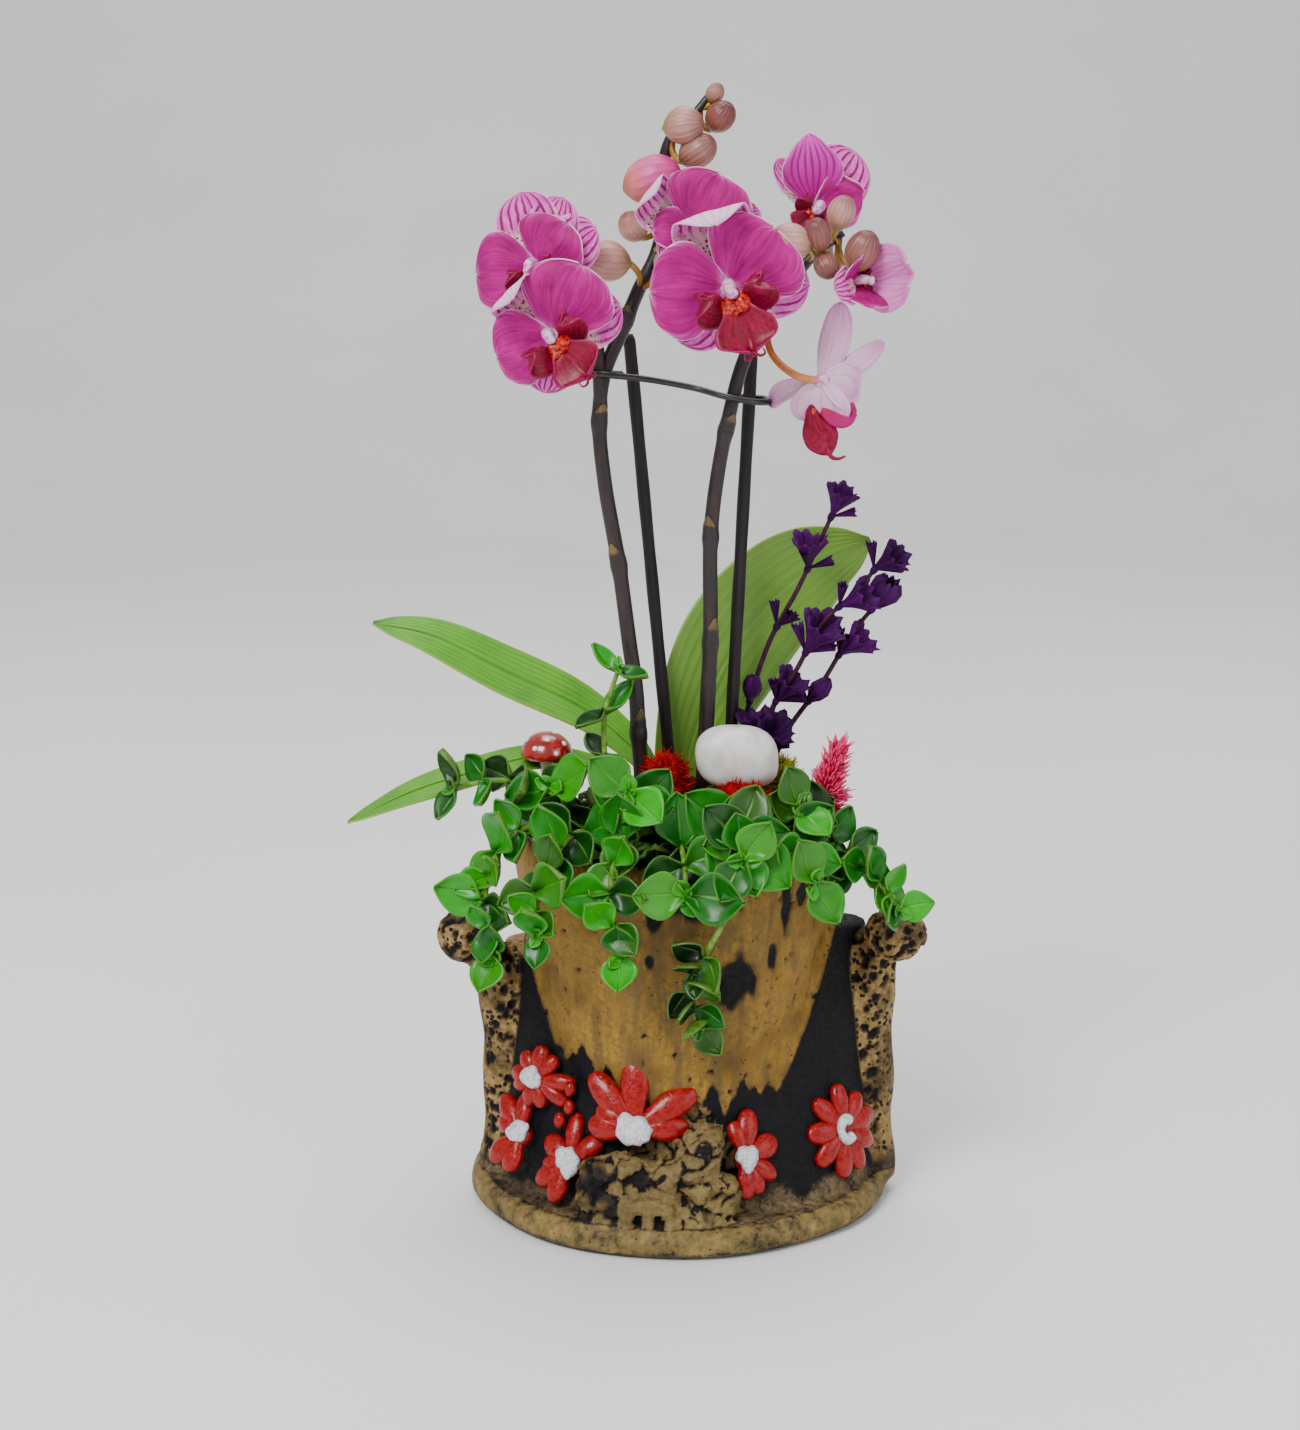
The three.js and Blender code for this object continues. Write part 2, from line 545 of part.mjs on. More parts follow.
// A thin stalk that swells into the bud at its end, as one rod
function budWithStalk(bud, g) {
  const axis = bud.axis.clone().normalize();
  const [length, width] = bud.size;
  const foot = bud.at.clone().addScaledVector(axis, -length * 0.95);
  const bend = foot.clone().lerp(bud.from, 0.45).addScaledVector(axis, -1.8);
  const tip = bud.at.clone().addScaledVector(axis, length);
  const line = [bud.from, bend, foot, bud.at.clone(), tip];
  const whole = new THREE.CatmullRomCurve3(line).getLength();
  const start = 1 - 2 * length / whole;
  return rod(line, (t) => {
    const k = (t - start) / (1 - start);
    return k <= 0 ? 0.9 : Math.max(0.9, width * Math.sin(Math.PI * Math.min(0.94, k ** 0.8 + 0.02)));
  }, 5, 5, g);
}

// Pedicels that carry the blooms end just behind each bloom's hub
const pedicel = (points, g) => rod(points, 0.95, 3, 3, g);

// Blooms: centre, direction the face looks, roll, size, and how far the tepals close
const blooms = [
  { name: 'bloom_upper_left', at: v3(-40, -23, 280), face: v3(-0.35, -1, 0.02),
    roll: 20, size: 1.02, close: 0.1 },
  { name: 'bloom_lower_left', at: v3(-35.5, -38, 262), face: v3(-0.12, -1, -0.05),
    roll: 47, size: 1, close: 0.08 },
  { name: 'bloom_middle', at: v3(13, -30, 274.5), face: v3(0.05, -1, -0.05),
    roll: 20, size: 1.12, close: 0.06 },
  { name: 'bloom_back', at: v3(3.5, -20, 289.5), face: v3(0.05, -0.9, 0.3),
    roll: 8, size: 0.86, close: 0.22 },
  { name: 'bloom_upper_right', at: v3(38.5, 1, 296.5), face: v3(0.12, -1, 0.04),
    roll: -45, size: 1.02, close: 0.08 },
  { name: 'bloom_right_cup', at: v3(49.5, -17, 276), face: v3(0.4, -0.8, 0.12),
    roll: 70, size: 0.88, close: 0.85 },
  { name: 'bloom_hanging', at: v3(40.5, -18, 248), face: v3(0.22, 0.93, -0.34),
    roll: -6, size: 1.12, close: 0.58 },
];

function bloomBasis(bloom) {
  const face = bloom.face.clone().normalize();
  const right0 = face.clone().cross(v3(0, 0, 1)).normalize().negate();
  const up0 = face.clone().cross(right0).normalize();
  const a = radians(bloom.roll);
  const right = right0.clone().multiplyScalar(Math.cos(a)).addScaledVector(up0, Math.sin(a));
  const up = up0.clone().multiplyScalar(Math.cos(a)).addScaledVector(right0, -Math.sin(a));
  return { face, right, up };
}

function hubBack(bloom, distance) {
  const { face } = bloomBasis(bloom);
  return bloom.at.clone().addScaledVector(face, -distance);
}

const blooming = Object.fromEntries(blooms.map((bloom) => [bloom.name, bloom]));
const pedicelsLeft = [
  [v3(-29, -9, 280), v3(-33, -12, 283), hubBack(blooming.bloom_upper_left, 4.6)],
  [v3(-25, -10, 268), v3(-30, -16, 270), hubBack(blooming.bloom_lower_left, 4.6)],
  [v3(-12, -5.5, 274), v3(0, -14, 279), hubBack(blooming.bloom_middle, 4.8)],
  [v3(-6, -3.5, 289), v3(-2, -4, 299), hubBack(blooming.bloom_back, 4.4)],
];
const pedicelsRight = [
  [v3(42, -12, 287), v3(43, -2, 284), v3(41, 6, 289), hubBack(blooming.bloom_upper_right, 4.8)],
  [v3(45, -12, 289), v3(45, -10, 281), hubBack(blooming.bloom_right_cup, 3.6)],
  [v3(24, -10, 265), v3(26, -14, 256), v3(33, -22, 250), hubBack(blooming.bloom_hanging, 4.6)],
];

keep('spike_left', 'spike', (g) => fuse([
  rod(spikeLeftLine, (t) => spikeSwell([0.17, 0.39, 0.57, 0.7], t, 1.2), 6, 17, g),
  rod(spikeFork, (t) => mix(2.1, 1.3, t), 6, 4, g),
  ...budsLeft.map((bud) => budWithStalk(bud, g)),
  ...pedicelsLeft.map((line) => pedicel(line, g)),
]));
keep('spike_right', 'spike', (g) => fuse([
  rod(spikeRightLine, (t) => spikeSwell([0.34, 0.5, 0.66], t, 1.2), 6, 13, g),
  ...budsRight.map((bud) => budWithStalk(bud, g)),
  ...pedicelsRight.map((line) => pedicel(line, g)),
]));

// One tepal of a bloom at an angle from its upward direction
function tepal(bloom, turn, length, half, outline, lean, bend, sink, g) {
  const { face, right, up } = bloomBasis(bloom);
  const a = radians(turn);
  const way = up.clone().multiplyScalar(Math.cos(a)).addScaledVector(right, Math.sin(a));
  const side = face.clone().cross(way);
  const s = bloom.size;
  const reach = (d, lift) => bloom.at.clone().addScaledVector(way, d * s * Math.cos(bloom.close))
    .addScaledVector(face, (lift - sink) * s + d * s * Math.sin(bloom.close));
  return blade({
    points: [reach(0.8, 0), reach(length * 0.5, lean), reach(length, lean + bend)],
    side,
    half: half * s * Math.cos(bloom.close * 0.5),
    outline,
    rows: 3,
    columns: 1,
    thickness: petalThickness,
  }, g);
}

// Both petals as one blade from tip to tip, narrow where the hub holds it
function petals(bloom, g) {
  const { face, right, up } = bloomBasis(bloom);
  const s = bloom.size;
  const spot = (turn, d, lift) => {
    const way = up.clone().multiplyScalar(Math.cos(turn)).addScaledVector(right, Math.sin(turn));
    return bloom.at.clone().addScaledVector(way, d * s * Math.cos(bloom.close))
      .addScaledVector(face, lift * s + d * s * Math.sin(bloom.close));
  };
  const turn = radians(66);
  const outline = (u) => petalOutline(Math.abs(u - 0.5) * 2);
  return blade({
    points: [spot(-turn, 20.5, -0.2), spot(-turn, 10.5, 1.7), spot(0, 0.6, 0.4), spot(turn, 10.5, 1.7),
      spot(turn, 20.5, -0.2)],
    side: up,
    half: 11.8 * s * Math.cos(bloom.close * 0.5),
    outline,
    rows: 6,
    columns: 1,
    even: true,
    thickness: petalThickness,
  }, g);
}

// A half-open bloom keeps five slim tepals that meet as a cup
function tepals(bloom, g) {
  const { face, up } = bloomBasis(bloom);
  const s = bloom.size;
  const hub = lump(bloom.at.clone().addScaledVector(face, 0.8), [2.5 * s, 2.5 * s, 4.8 * s],
    face.clone().addScaledVector(up, -0.12), g, 5, 3);
  if (bloom.close > 0.6) {
    const cupped = [0, 72, 144, 216, 288]
      .map((turn) => tepal(bloom, turn, 22, 6.2, petalOutline, 1, -3, 0, g));
    return fuse([...cupped, hub]);
  }
  return fuse([
    tepal(bloom, 0, 20, 8, sepalOutline, 0.4, -1.5, 2.1, g),
    tepal(bloom, 122, 20, 8, sepalOutline, 0.2, -1.2, 2.1, g),
    tepal(bloom, -122, 20, 8, sepalOutline, 0.2, -1.2, 2.1, g),
    petals(bloom, g),
    hub,
  ]);
}

// Lip: two raised side lobes as one blade, and a broad middle lobe
function lip(bloom, g) {
  const { face, right, up } = bloomBasis(bloom);
  const s = bloom.size * (bloom.close > 0.6 ? 0.5 : 1);
  const spot = (r, u, f) => bloom.at.clone().addScaledVector(right, r * s).addScaledVector(up, u * s)
    .addScaledVector(face, f * s);
  const lobe = (points, side, half, outline, curl, rows, columns) => blade({
    points,
    side,
    half: half * s,
    outline,
    cup: (u, v) => curl * s * v * v,
    rows,
    columns,
    even: rows === 4,
    thickness: petalThickness,
  }, g);
  const broad = (u) => along([[0, 0.35], [0.4, 0.7], [0.75, 1], [1, 0.5]], u);
  return fuse([
    lobe([spot(-7, -1, 8.5), spot(-4, -3, 5.4), spot(0, -3.4, 3.8), spot(4, -3, 5.4), spot(7, -1, 8.5)], up,
      4.6, (u) => broad(Math.abs(u - 0.5) * 2), 0, 4, 1),
    lobe([spot(0, -2.4, 3.8), spot(0, -8, 5.4), spot(0, -14, 8)], right, 5.6, broad, 1.3, 2, 2),
  ]);
}

blooms.forEach((bloom) => {
  keep(bloom.name, bloom.name === 'bloom_hanging' ? 'paleTepal' : 'tepal', (g) => tepals(bloom, g));
  keep(bloom.name.replace('bloom', 'lip'), 'lip', (g) => lip(bloom, g));
});

// Support stakes and the wire clip
keep('stake_left', 'stake', (g) =>
  rod([v3(1, 6, 92), v3(-7, 5, 176), v3(-15, 4, 261)], stakeRadius, 8, 2, g));
keep('stake_right', 'stake', (g) =>
  rod([v3(13.5, 4, 92), v3(17, 3, 172), v3(21, 2, 256)], stakeRadius, 8, 2, g));

const clipLine = [v3(-16.5, -0.5, 249.5), v3(-22, -3, 250), v3(-28, -8.5, 250.6), v3(-26.5, -13, 250.4),
  v3(-20, -13.2, 249.8), v3(-10, -10, 248.6), v3(4, -9, 246), v3(12, -13.2, 244), v3(19, -14, 242.6),
  v3(24.5, -11, 242), v3(26, -4, 242), v3(24.6, 4.6, 242.2), v3(18.5, 5.6, 242.6), v3(16.6, 2, 243)];
keep('stake_clip', 'wire', (g) => rod(clipLine, clipRadius, 5, 22, g));

// Orchid strap leaves
function strap(points, side, half, dish, g) {
  return blade({
    points,
    side,
    half,
    outline: strapOutline,
    cup: (u, v) => dish * Math.abs(v) * Math.sin(Math.PI * Math.min(1, u + 0.15)),
    rows: 8,
    columns: 2,
    thickness: strapThickness,
  }, g);
}

keep('leaf_right', 'strapLeaf', (g) =>
  strap([v3(1, 12, 112), v3(2, 13, 130), v3(9, 15, 152), v3(22, 19, 174),
  v3(40, 21, 190), v3(58, 17, 199)], v3(0.72, 0.12, -0.7), 17.5, -1.6, g));
keep('leaf_left', 'strapLeaf', (g) =>
  strap([v3(-5, 9, 113), v3(-10, 9, 130), v3(-26, 9, 146), v3(-52, 6, 160),
  v3(-74, 1, 172), v3(-91, -3, 176.5)], v3(0, -0.74, -0.67), 9, 1.2, g));
keep('leaf_low_left', 'strapLeaf', (g) => strap([v3(-12, 0, 116), v3(-20, -1, 130), v3(-42, -5, 136),
  v3(-62, -11, 132.5), v3(-80, -18, 128), v3(-97, -25, 121)], v3(0, -0.8, -0.5), 5.4, 0.8, g));

// Pebble, toadstool, plume and moss
keep('pebble', 'pebble', (g) => ball(v3(17, -19, 140), [8.6, 9.6, 12.2], 1, v3(1, 0.1, -0.12), g));
keep('toadstool_stalk', 'stalk', (g) =>
  rod([v3(-38, -9, 109), v3(-39, -9, 122), v3(-39.5, -9, 136.5)], 2, 7, 2, g));
keep('toadstool_cap', 'capRed', (g) => {
  const dome = new THREE.SphereGeometry(1, 10, 6);
  moved(dome, (p) => {
    p.set(p.x * (7.6 + g), p.z * (7.6 + g), p.y * ((p.y > 0 ? 6 : 1.8) + g));
    p.add(v3(-39.5, -9, 138.8));
  });
  return solidOf(dome);
});

// Moss: a cushion whose surface stands out in points
function moss(centre, radii, seed, g) {
  const body = new THREE.IcosahedronGeometry(1, 1);
  moved(body, (p) => {
    const k = Math.round(p.x * 41 + 1e-6) * 7 + Math.round(p.y * 53 + 1e-6) * 3
      + Math.round(p.z * 67 + 1e-6);
    const reach = 0.74 + 0.42 * vary(k + seed * 17);
    p.set(p.x * (radii[0] * reach + g), p.y * (radii[1] * reach + g), p.z * (radii[2] * reach + g))
      .add(centre);
  });
  return solidOf(body);
}

keep('red_moss_front', 'redMoss', (g) => moss(v3(18, -27, 124.5), [10.5, 8.5, 10.5], 1, g));
keep('red_moss_middle', 'redMoss', (g) => moss(v3(-4, -14, 131), [8, 8, 9], 2, g));
keep('red_moss_right', 'redMoss', (g) => moss(v3(38, -12, 121), [7, 8, 7], 3, g));
keep('yellow_moss', 'yellowMoss', (g) => moss(v3(30, -9, 129), [6, 7, 9], 4, g));

// Dried plume: a slim core with many upturned spikelets
function plume(g) {
  const core = [v3(37, -16, 110), v3(42, -21, 121), v3(45.5, -25, 131), v3(48.5, -27, 142)];
  const curve = new THREE.CatmullRomCurve3(core);
  const pieces = [rod(core, 0.9, 3, 4, g)];
  for (let i = 0; i < 4; i += 1) {
    const t = 0.42 + 0.5 * i / 3;
    pieces.push(tuft(curve.getPointAt(t), curve.getTangentAt(t), mix(10, 6, i / 3), 4, g));
  }
  return fuse(pieces);
}
keep('pink_plume', 'plume', plume);

// Dried violet sprigs: a thin stem with clusters of small calyx cups
const violetSprigs = [
  { name: 'violet_sprig_a',
    line: [v3(15, 14, 106), v3(20, 12, 143), v3(27, 10, 168), v3(36, 8, 186), v3(42, 6, 200),
    v3(47, 4, 212)], clusters: [[0.97, 4.2, 4], [0.84, 4.8, 4], [0.68, 4.6, 3], [0.5, 3.6, 3]] },
  { name: 'violet_sprig_b',
    line: [v3(23, 5, 106), v3(26, 2, 145), v3(35, 0, 162), v3(43, -2, 177), v3(53, -4, 187),
    v3(60, -6, 197)], clusters: [[0.96, 4.6, 4], [0.83, 4.4, 4], [0.69, 4.8, 4], [0.54, 4.6, 4],
      [0.38, 5, 4]] },
  { name: 'violet_sprig_c',
    line: [v3(25, 12, 106), v3(31, 8, 138), v3(43, 5, 157), v3(53, 4, 174), v3(65, 3, 188)],
    clusters: [[0.96, 5, 4], [0.8, 4.8, 4], [0.6, 3.8, 3]] },
];

function violetSprig(sprig, g) {
  const curve = new THREE.CatmullRomCurve3(sprig.line);
  const pieces = [rod(sprig.line, (t) => mix(sprigStem, 0.6, t), 3, 8, g)];
  sprig.clusters.forEach(([t, reach, points]) => {
    const p = curve.getPointAt(Math.min(t, 0.985));
    const way = curve.getTangentAt(Math.min(t, 0.985));
    pieces.push(tuft(p, way, reach * 1.5, points, g));
  });
  return fuse(pieces);
}
violetSprigs.forEach((sprig) => keep(sprig.name, 'violet', (g) => violetSprig(sprig, g)));

// Creeping plant: each sprig is a stem with crossed pairs of small pointed leaves
const creepers = [
  { name: 'creeper_upright', paint: 'creeper',
    line: [v3(-21, -20, 112), v3(-22, -20, 138), v3(-22, -18, 152),
    v3(-18, -17, 165)], first: 0.62, pairs: 3, leaf: 13, open: 72, turn: 0.2,
    light: 0.4 },
  { name: 'creeper_left_high', paint: 'darkCreeper',
    line: [v3(-26, -12, 112), v3(-38, -18, 128), v3(-52, -22, 133),
    v3(-66, -22, 131)], first: 0.3, pairs: 3, leaf: 15.5, open: 70, turn: 0.6 },
  { name: 'creeper_left_low', paint: 'creeper',
    line: [v3(-28, -24, 112), v3(-44, -34, 122), v3(-54, -38, 112),
    v3(-56, -40, 96), v3(-53, -44, 86)], first: 0.26, pairs: 4, leaf: 16, open: 66, turn: 0.1 },
  { name: 'creeper_left_front', paint: 'creeper',
    line: [v3(-18, -28, 112), v3(-30, -42, 122), v3(-40, -50, 108),
    v3(-40, -54, 95)], first: 0.3, pairs: 4, leaf: 16, open: 68, turn: 0.9 },
  { name: 'creeper_left_cushion', paint: 'creeper',
    line: [v3(-22, -18, 112), v3(-31, -24, 124), v3(-37, -31, 133)],
    first: 0.6, pairs: 2, leaf: 18, open: 76, turn: 0.35 },
  { name: 'creeper_middle_drop', paint: 'creeper',
    line: [v3(-9, -32, 112), v3(-17, -48, 121), v3(-20, -55, 106),
    v3(-17, -56.5, 90)], first: 0.34, pairs: 3, leaf: 16, open: 62, turn: 0.4 },
  { name: 'creeper_middle_high', paint: 'creeper',
    line: [v3(-8, -22, 112), v3(-12, -34, 126), v3(-15, -44, 134)],
    first: 0.6, pairs: 2, leaf: 17.5, open: 78, turn: 0.75 },
  { name: 'creeper_front_rosette', paint: 'creeper',
    line: [v3(7, -28, 112), v3(12, -40, 121), v3(17, -52, 122),
    v3(17, -58, 118)], first: 0.55, pairs: 3, leaf: 20, open: 82, turn: 0.15 },
  { name: 'creeper_front_lower', paint: 'creeper', line: [v3(0, -30, 111), v3(0, -44, 119), v3(1, -54, 115),
    v3(1, -59, 108)], first: 0.5, pairs: 2, leaf: 18, open: 76, turn: 0.5 },
  { name: 'creeper_right_front', paint: 'creeper',
    line: [v3(27.5, -28, 112), v3(31, -39, 120.5), v3(34, -48, 117),
    v3(37, -51, 110)], first: 0.5, pairs: 2, leaf: 17, open: 76, turn: 0.7 },
  { name: 'creeper_right_drop', paint: 'creeper',
    line: [v3(28, -24, 112), v3(38, -33, 120), v3(50, -34, 111),
    v3(59, -33, 103), v3(63, -36, 97)], first: 0.32, pairs: 4, leaf: 15.5, open: 72, turn: 0.3 },
  { name: 'creeper_right_high', paint: 'creeper',
    line: [v3(31, -21, 112), v3(33, -30, 122), v3(34, -38, 129)],
    first: 0.6, pairs: 2, leaf: 14.5, open: 66, turn: 0.85 },
  { name: 'creeper_hanging', paint: 'darkCreeper',
    line: [v3(13, -34, 112), v3(14, -48, 118), v3(14, -55.5, 106),
    v3(8, -54.5, 92), v3(3, -51.5, 82), v3(5, -48.5, 66)],
    first: 0.66, pairs: 3, leaf: 12.5, open: 52, turn: 0.2,
    light: 0.5 },
];

function creeper(plant, g) {
  const curve = new THREE.CatmullRomCurve3(plant.line);
  const pieces = [rod(plant.line, (t) => mix(creeperStem, 0.7, t), 3, 5, g)];
  for (let k = 0; k < plant.pairs; k += 1) {
    const t = mix(plant.first, 0.985, plant.pairs > 1 ? k / (plant.pairs - 1) : 1);
    const p = curve.getPointAt(t);
    const light = v3(p.x * 0.012, -0.85, 0.4);
    const way = curve.getTangentAt(t).multiplyScalar(0.4)
      .addScaledVector(light, plant.light ?? 1).normalize();
    const side = way.clone().cross(v3(0.13, 0.31, 0.94)).normalize();
    const front = side.clone().cross(way);
    const nearTip = smooth(0.4, 1, k / plant.pairs);
    const a = plant.turn * Math.PI + k * Math.PI / 2 + 0.5 * (vary(k + plant.turn * 40) - 0.5);
    const out = side.clone().multiplyScalar(Math.cos(a)).addScaledVector(front, Math.sin(a));
    const leafTo = (sign, share) => {
      const id = k * 2 + sign + plant.turn * 40;
      const open = radians(plant.open + 18 * (vary(id + 3) - 0.5) - 14 * nearTip);
      const length = plant.leaf * mix(1, 0.62, nearTip) * mix(0.88, 1.12, vary(id + 5)) * share;
      return p.clone().addScaledVector(out, sign * length * Math.sin(open))
        .addScaledVector(way, length * Math.cos(open) * share);
    };
    pieces.push(blade({
      points: [leafTo(-1, 1), leafTo(-1, 0.55), p, leafTo(1, 0.55), leafTo(1, 1)],
      side: way.clone().cross(out).normalize(),
      half: plant.leaf * mix(1, 0.62, nearTip) * 0.43,
      outline: (u) => leafletOutline(Math.abs(u - 0.5) * 2),
      rows: 6,
      columns: 1,
      even: true,
      thickness: leafThickness,
    }, g));
  }
  return fuse(pieces);
}
creepers.forEach((plant) => keep(plant.name, plant.paint, (g) => creeper(plant, g)));

// Potting mix: fills the bucket, heaped in the middle, with a plain hole for every stem
function pottingMix(g) {
  const line = [[0, bucketFloor + clearance - g], [34 - clearance + g, bucketFloor + clearance - g]];
  [45, 75, 108].forEach((z) => {
    line.push([trunkRadius(z) - bucketWall - clearance + g, z]);
  });
  [0.98, 0.6].forEach((s) => {
    line.push([(moundRadius - 2) * s, mix(moundHeight, moundEdge, s * s)]);
  });
  line.push([0, moundHeight]);
  const body = moved(lathe(line, 20), (p) => {
    if (p.z > moundEdge) p.z += 1.2 * Math.sin(p.x * 0.3) * Math.cos(p.y * 0.27);
  });
  return solidOf(body);
}
keep('potting_mix', 'soil', pottingMix);

export default group;
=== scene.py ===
# Moth orchid with two spikes in a cast tree-stump planter, with a creeping plant and dried ornaments.
# Settings are in millimetres; meshes go into the scene in metres.
import bpy
import numpy as np
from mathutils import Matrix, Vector


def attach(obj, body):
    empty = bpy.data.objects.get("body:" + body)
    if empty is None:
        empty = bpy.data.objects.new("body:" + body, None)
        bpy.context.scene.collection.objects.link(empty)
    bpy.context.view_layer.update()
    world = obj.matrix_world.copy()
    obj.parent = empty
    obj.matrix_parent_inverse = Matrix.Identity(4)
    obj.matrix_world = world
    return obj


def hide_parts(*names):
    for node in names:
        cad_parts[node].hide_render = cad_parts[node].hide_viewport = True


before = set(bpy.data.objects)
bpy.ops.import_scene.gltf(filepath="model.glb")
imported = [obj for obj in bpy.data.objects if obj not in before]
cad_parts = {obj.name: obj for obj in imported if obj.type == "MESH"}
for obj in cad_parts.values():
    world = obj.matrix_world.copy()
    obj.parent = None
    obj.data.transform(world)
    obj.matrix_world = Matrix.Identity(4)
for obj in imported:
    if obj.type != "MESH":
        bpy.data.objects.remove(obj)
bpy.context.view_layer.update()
print("frame loaded:", len(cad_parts), "nodes")


# small tools

def unit(a):  # a direction: the vector over its own length
    a = np.asarray(a, float)
    return a / np.maximum(np.linalg.norm(a, axis=-1, keepdims=True), 1e-9)


def vary(k):  # repeatable number from 0 to 1 for each k: the fraction of a large sine
    s = np.sin(np.asarray(k, float) * 12.9898 + 4.1414) * 43758.5453
    return s - np.floor(s)


def smooth(a, b, x):  # rises from 0 at a to 1 at b with level ends
    t = np.clip((x - a) / (b - a), 0, 1)
    return t * t * (3 - 2 * t)


def smoothLine(points, count=240):
    # Catmull-Rom line through the points, with knots a root of the distance apart, then spaced evenly
    p = np.array(points, float)
    p = np.vstack([2 * p[0] - p[1], p, 2 * p[-1] - p[-2]])
    d = np.sqrt(np.linalg.norm(np.diff(p, axis=0), axis=1))[:, None] + 1e-9
    a, b, c, e = p[:-3], p[1:-2], p[2:-1], p[3:]
    m1 = ((b - a) / d[:-2] - (c - a) / (d[:-2] + d[1:-1]) + (c - b) / d[1:-1]) * d[1:-1]
    m2 = ((c - b) / d[1:-1] - (e - b) / (d[1:-1] + d[2:]) + (e - c) / d[2:]) * d[1:-1]
    t = np.linspace(0, 1, 24, endpoint=False)[None, :, None]
    b, c, m1, m2 = (k[:, None] for k in (b, c, m1, m2))
    stay, leave = 2 * t**3 - 3 * t**2 + 1, t**3 - 2 * t**2 + t
    move, arrive = 3 * t**2 - 2 * t**3, t**3 - t**2
    dense = stay * b + leave * m1 + move * c + arrive * m2
    return spaced(np.vstack([dense.reshape(-1, p.shape[1]), p[-2]]), np.linspace(0, 1, count))


def spaced(line, t):  # points at the shares t of a line's length
    s = np.concatenate([[0], np.cumsum(np.linalg.norm(np.diff(line, axis=0), axis=1))])
    return np.stack([np.interp(np.asarray(t) * s[-1], s, line[:, k]) for k in range(line.shape[1])], -1)


def lineAt(points, t):  # points at the shares t of a smooth line's length
    return spaced(smoothLine(points), t)


def swell(*pairs):  # smooth curve through (place, size) pairs
    curve = smoothLine(pairs, 200)
    return lambda x: np.interp(x, curve[:, 0], curve[:, 1])


def hashOf(i, seed):  # repeatable number for each whole-number cube corner
    return vary(i[..., 0] * 1.37 + i[..., 1] * 57.31 + i[..., 2] * 113.57 + seed * 7.77)


def noise3(p, size, seed=0):  # numbers at cube corners, blended smoothly between them, from -1 to 1
    q = p / size
    low = np.floor(q)
    f = q - low
    f = f * f * (3 - 2 * f)
    total = 0
    for corner in np.ndindex(2, 2, 2):
        c = np.array(corner)
        total = total + hashOf(low + c, seed) * np.prod(np.where(c == 1, f, 1 - f), axis=-1)
    return total * 2 - 1


def cells3(p, size, seed=0):
    # one random point in each cube: distances to the nearest and second nearest, and the nearest's number
    q = p / size
    low = np.floor(q)
    near = np.full(len(p), 9.0)
    second = near.copy()
    mark = np.zeros(len(p))
    for corner in np.ndindex(3, 3, 3):
        c = low + np.array(corner) - 1
        spot = c + np.stack([hashOf(c, seed + k) for k in (1, 2, 3)], -1)
        d = np.linalg.norm(q - spot, axis=1)
        second = np.where(d < near, near, np.minimum(second, d))
        mark = np.where(d < near, hashOf(c, seed + 4), mark)
        near = np.minimum(near, d)
    return near * size, second * size, mark


# surfaces

class Shape:
    # points, faces with four and three corners, and for each point a place on the surface, a tone and
    # a back share; coat is the number of the paint on each face
    def __init__(self, points, quads, tris=None, place=None, tone=0.5, back=0.0, coat=0):
        n = len(points)
        self.points = np.asarray(points, float)
        self.quads = np.asarray(quads, int).reshape(-1, 4)
        self.tris = np.zeros((0, 3), int) if tris is None else np.asarray(tris, int).reshape(-1, 3)
        self.place = np.zeros((n, 2)) if place is None else place
        self.tone = np.broadcast_to(tone, n).astype(float)
        self.back = np.broadcast_to(back, n).astype(float)
        faces = len(self.quads) + len(self.tris)
        self.coat = coat if isinstance(coat, np.ndarray) else np.full(faces, coat)


def joined(shapes):  # one shape: the points one after another, each shape's corners moved up by its start
    start = np.cumsum([0] + [len(s.points) for s in shapes[:-1]])
    coats = [s.coat[:len(s.quads)] for s in shapes] + [s.coat[len(s.quads):] for s in shapes]
    return Shape(np.vstack([s.points for s in shapes]),
                 np.vstack([s.quads + k for s, k in zip(shapes, start)]),
                 np.vstack([s.tris + k for s, k in zip(shapes, start)]),
                 np.vstack([s.place for s in shapes]),
                 np.concatenate([s.tone for s in shapes]),
                 np.concatenate([s.back for s in shapes]),
                 np.concatenate(coats))


def shellOf(mid, thick, tone, coat, u, v):
    # closed thin body: a grid pushed out along its normals to both sides, thinner at the rim
    rows, cols = mid.shape[:2]
    n = unit(np.cross(np.gradient(mid, axis=0), np.gradient(mid, axis=1)))
    uu, vv = np.meshgrid(u, v, indexing="ij")
    half = (thick / 2 * (1 - 0.55 * np.maximum(np.abs(vv), uu) ** 5))[..., None]
    top, low = (mid + n * half).reshape(-1, 3), (mid - n * half).reshape(-1, 3)
    count = rows * cols
    i, j = np.meshgrid(np.arange(rows - 1), np.arange(cols - 1), indexing="ij")
    a = (i * cols + j).ravel()
    face = np.stack([a, a + cols, a + cols + 1, a + 1], 1)
    grid = np.arange(count).reshape(rows, cols)
    rim = np.concatenate([grid[:-1, 0], grid[-1, :-1], grid[:0:-1, -1], grid[0, :0:-1]])
    after = np.roll(rim, -1)
    strip = np.stack([rim + count, after + count, after, rim], 1)
    place = np.tile(np.stack([uu.ravel(), vv.ravel() * 0.5 + 0.5], 1), (2, 1))
    back = np.concatenate([np.zeros(count), np.ones(count)])
    faces = np.vstack([face, face[:, ::-1] + count, strip])
    return Shape(np.vstack([top, low]), faces, None, place, tone, back, coat)


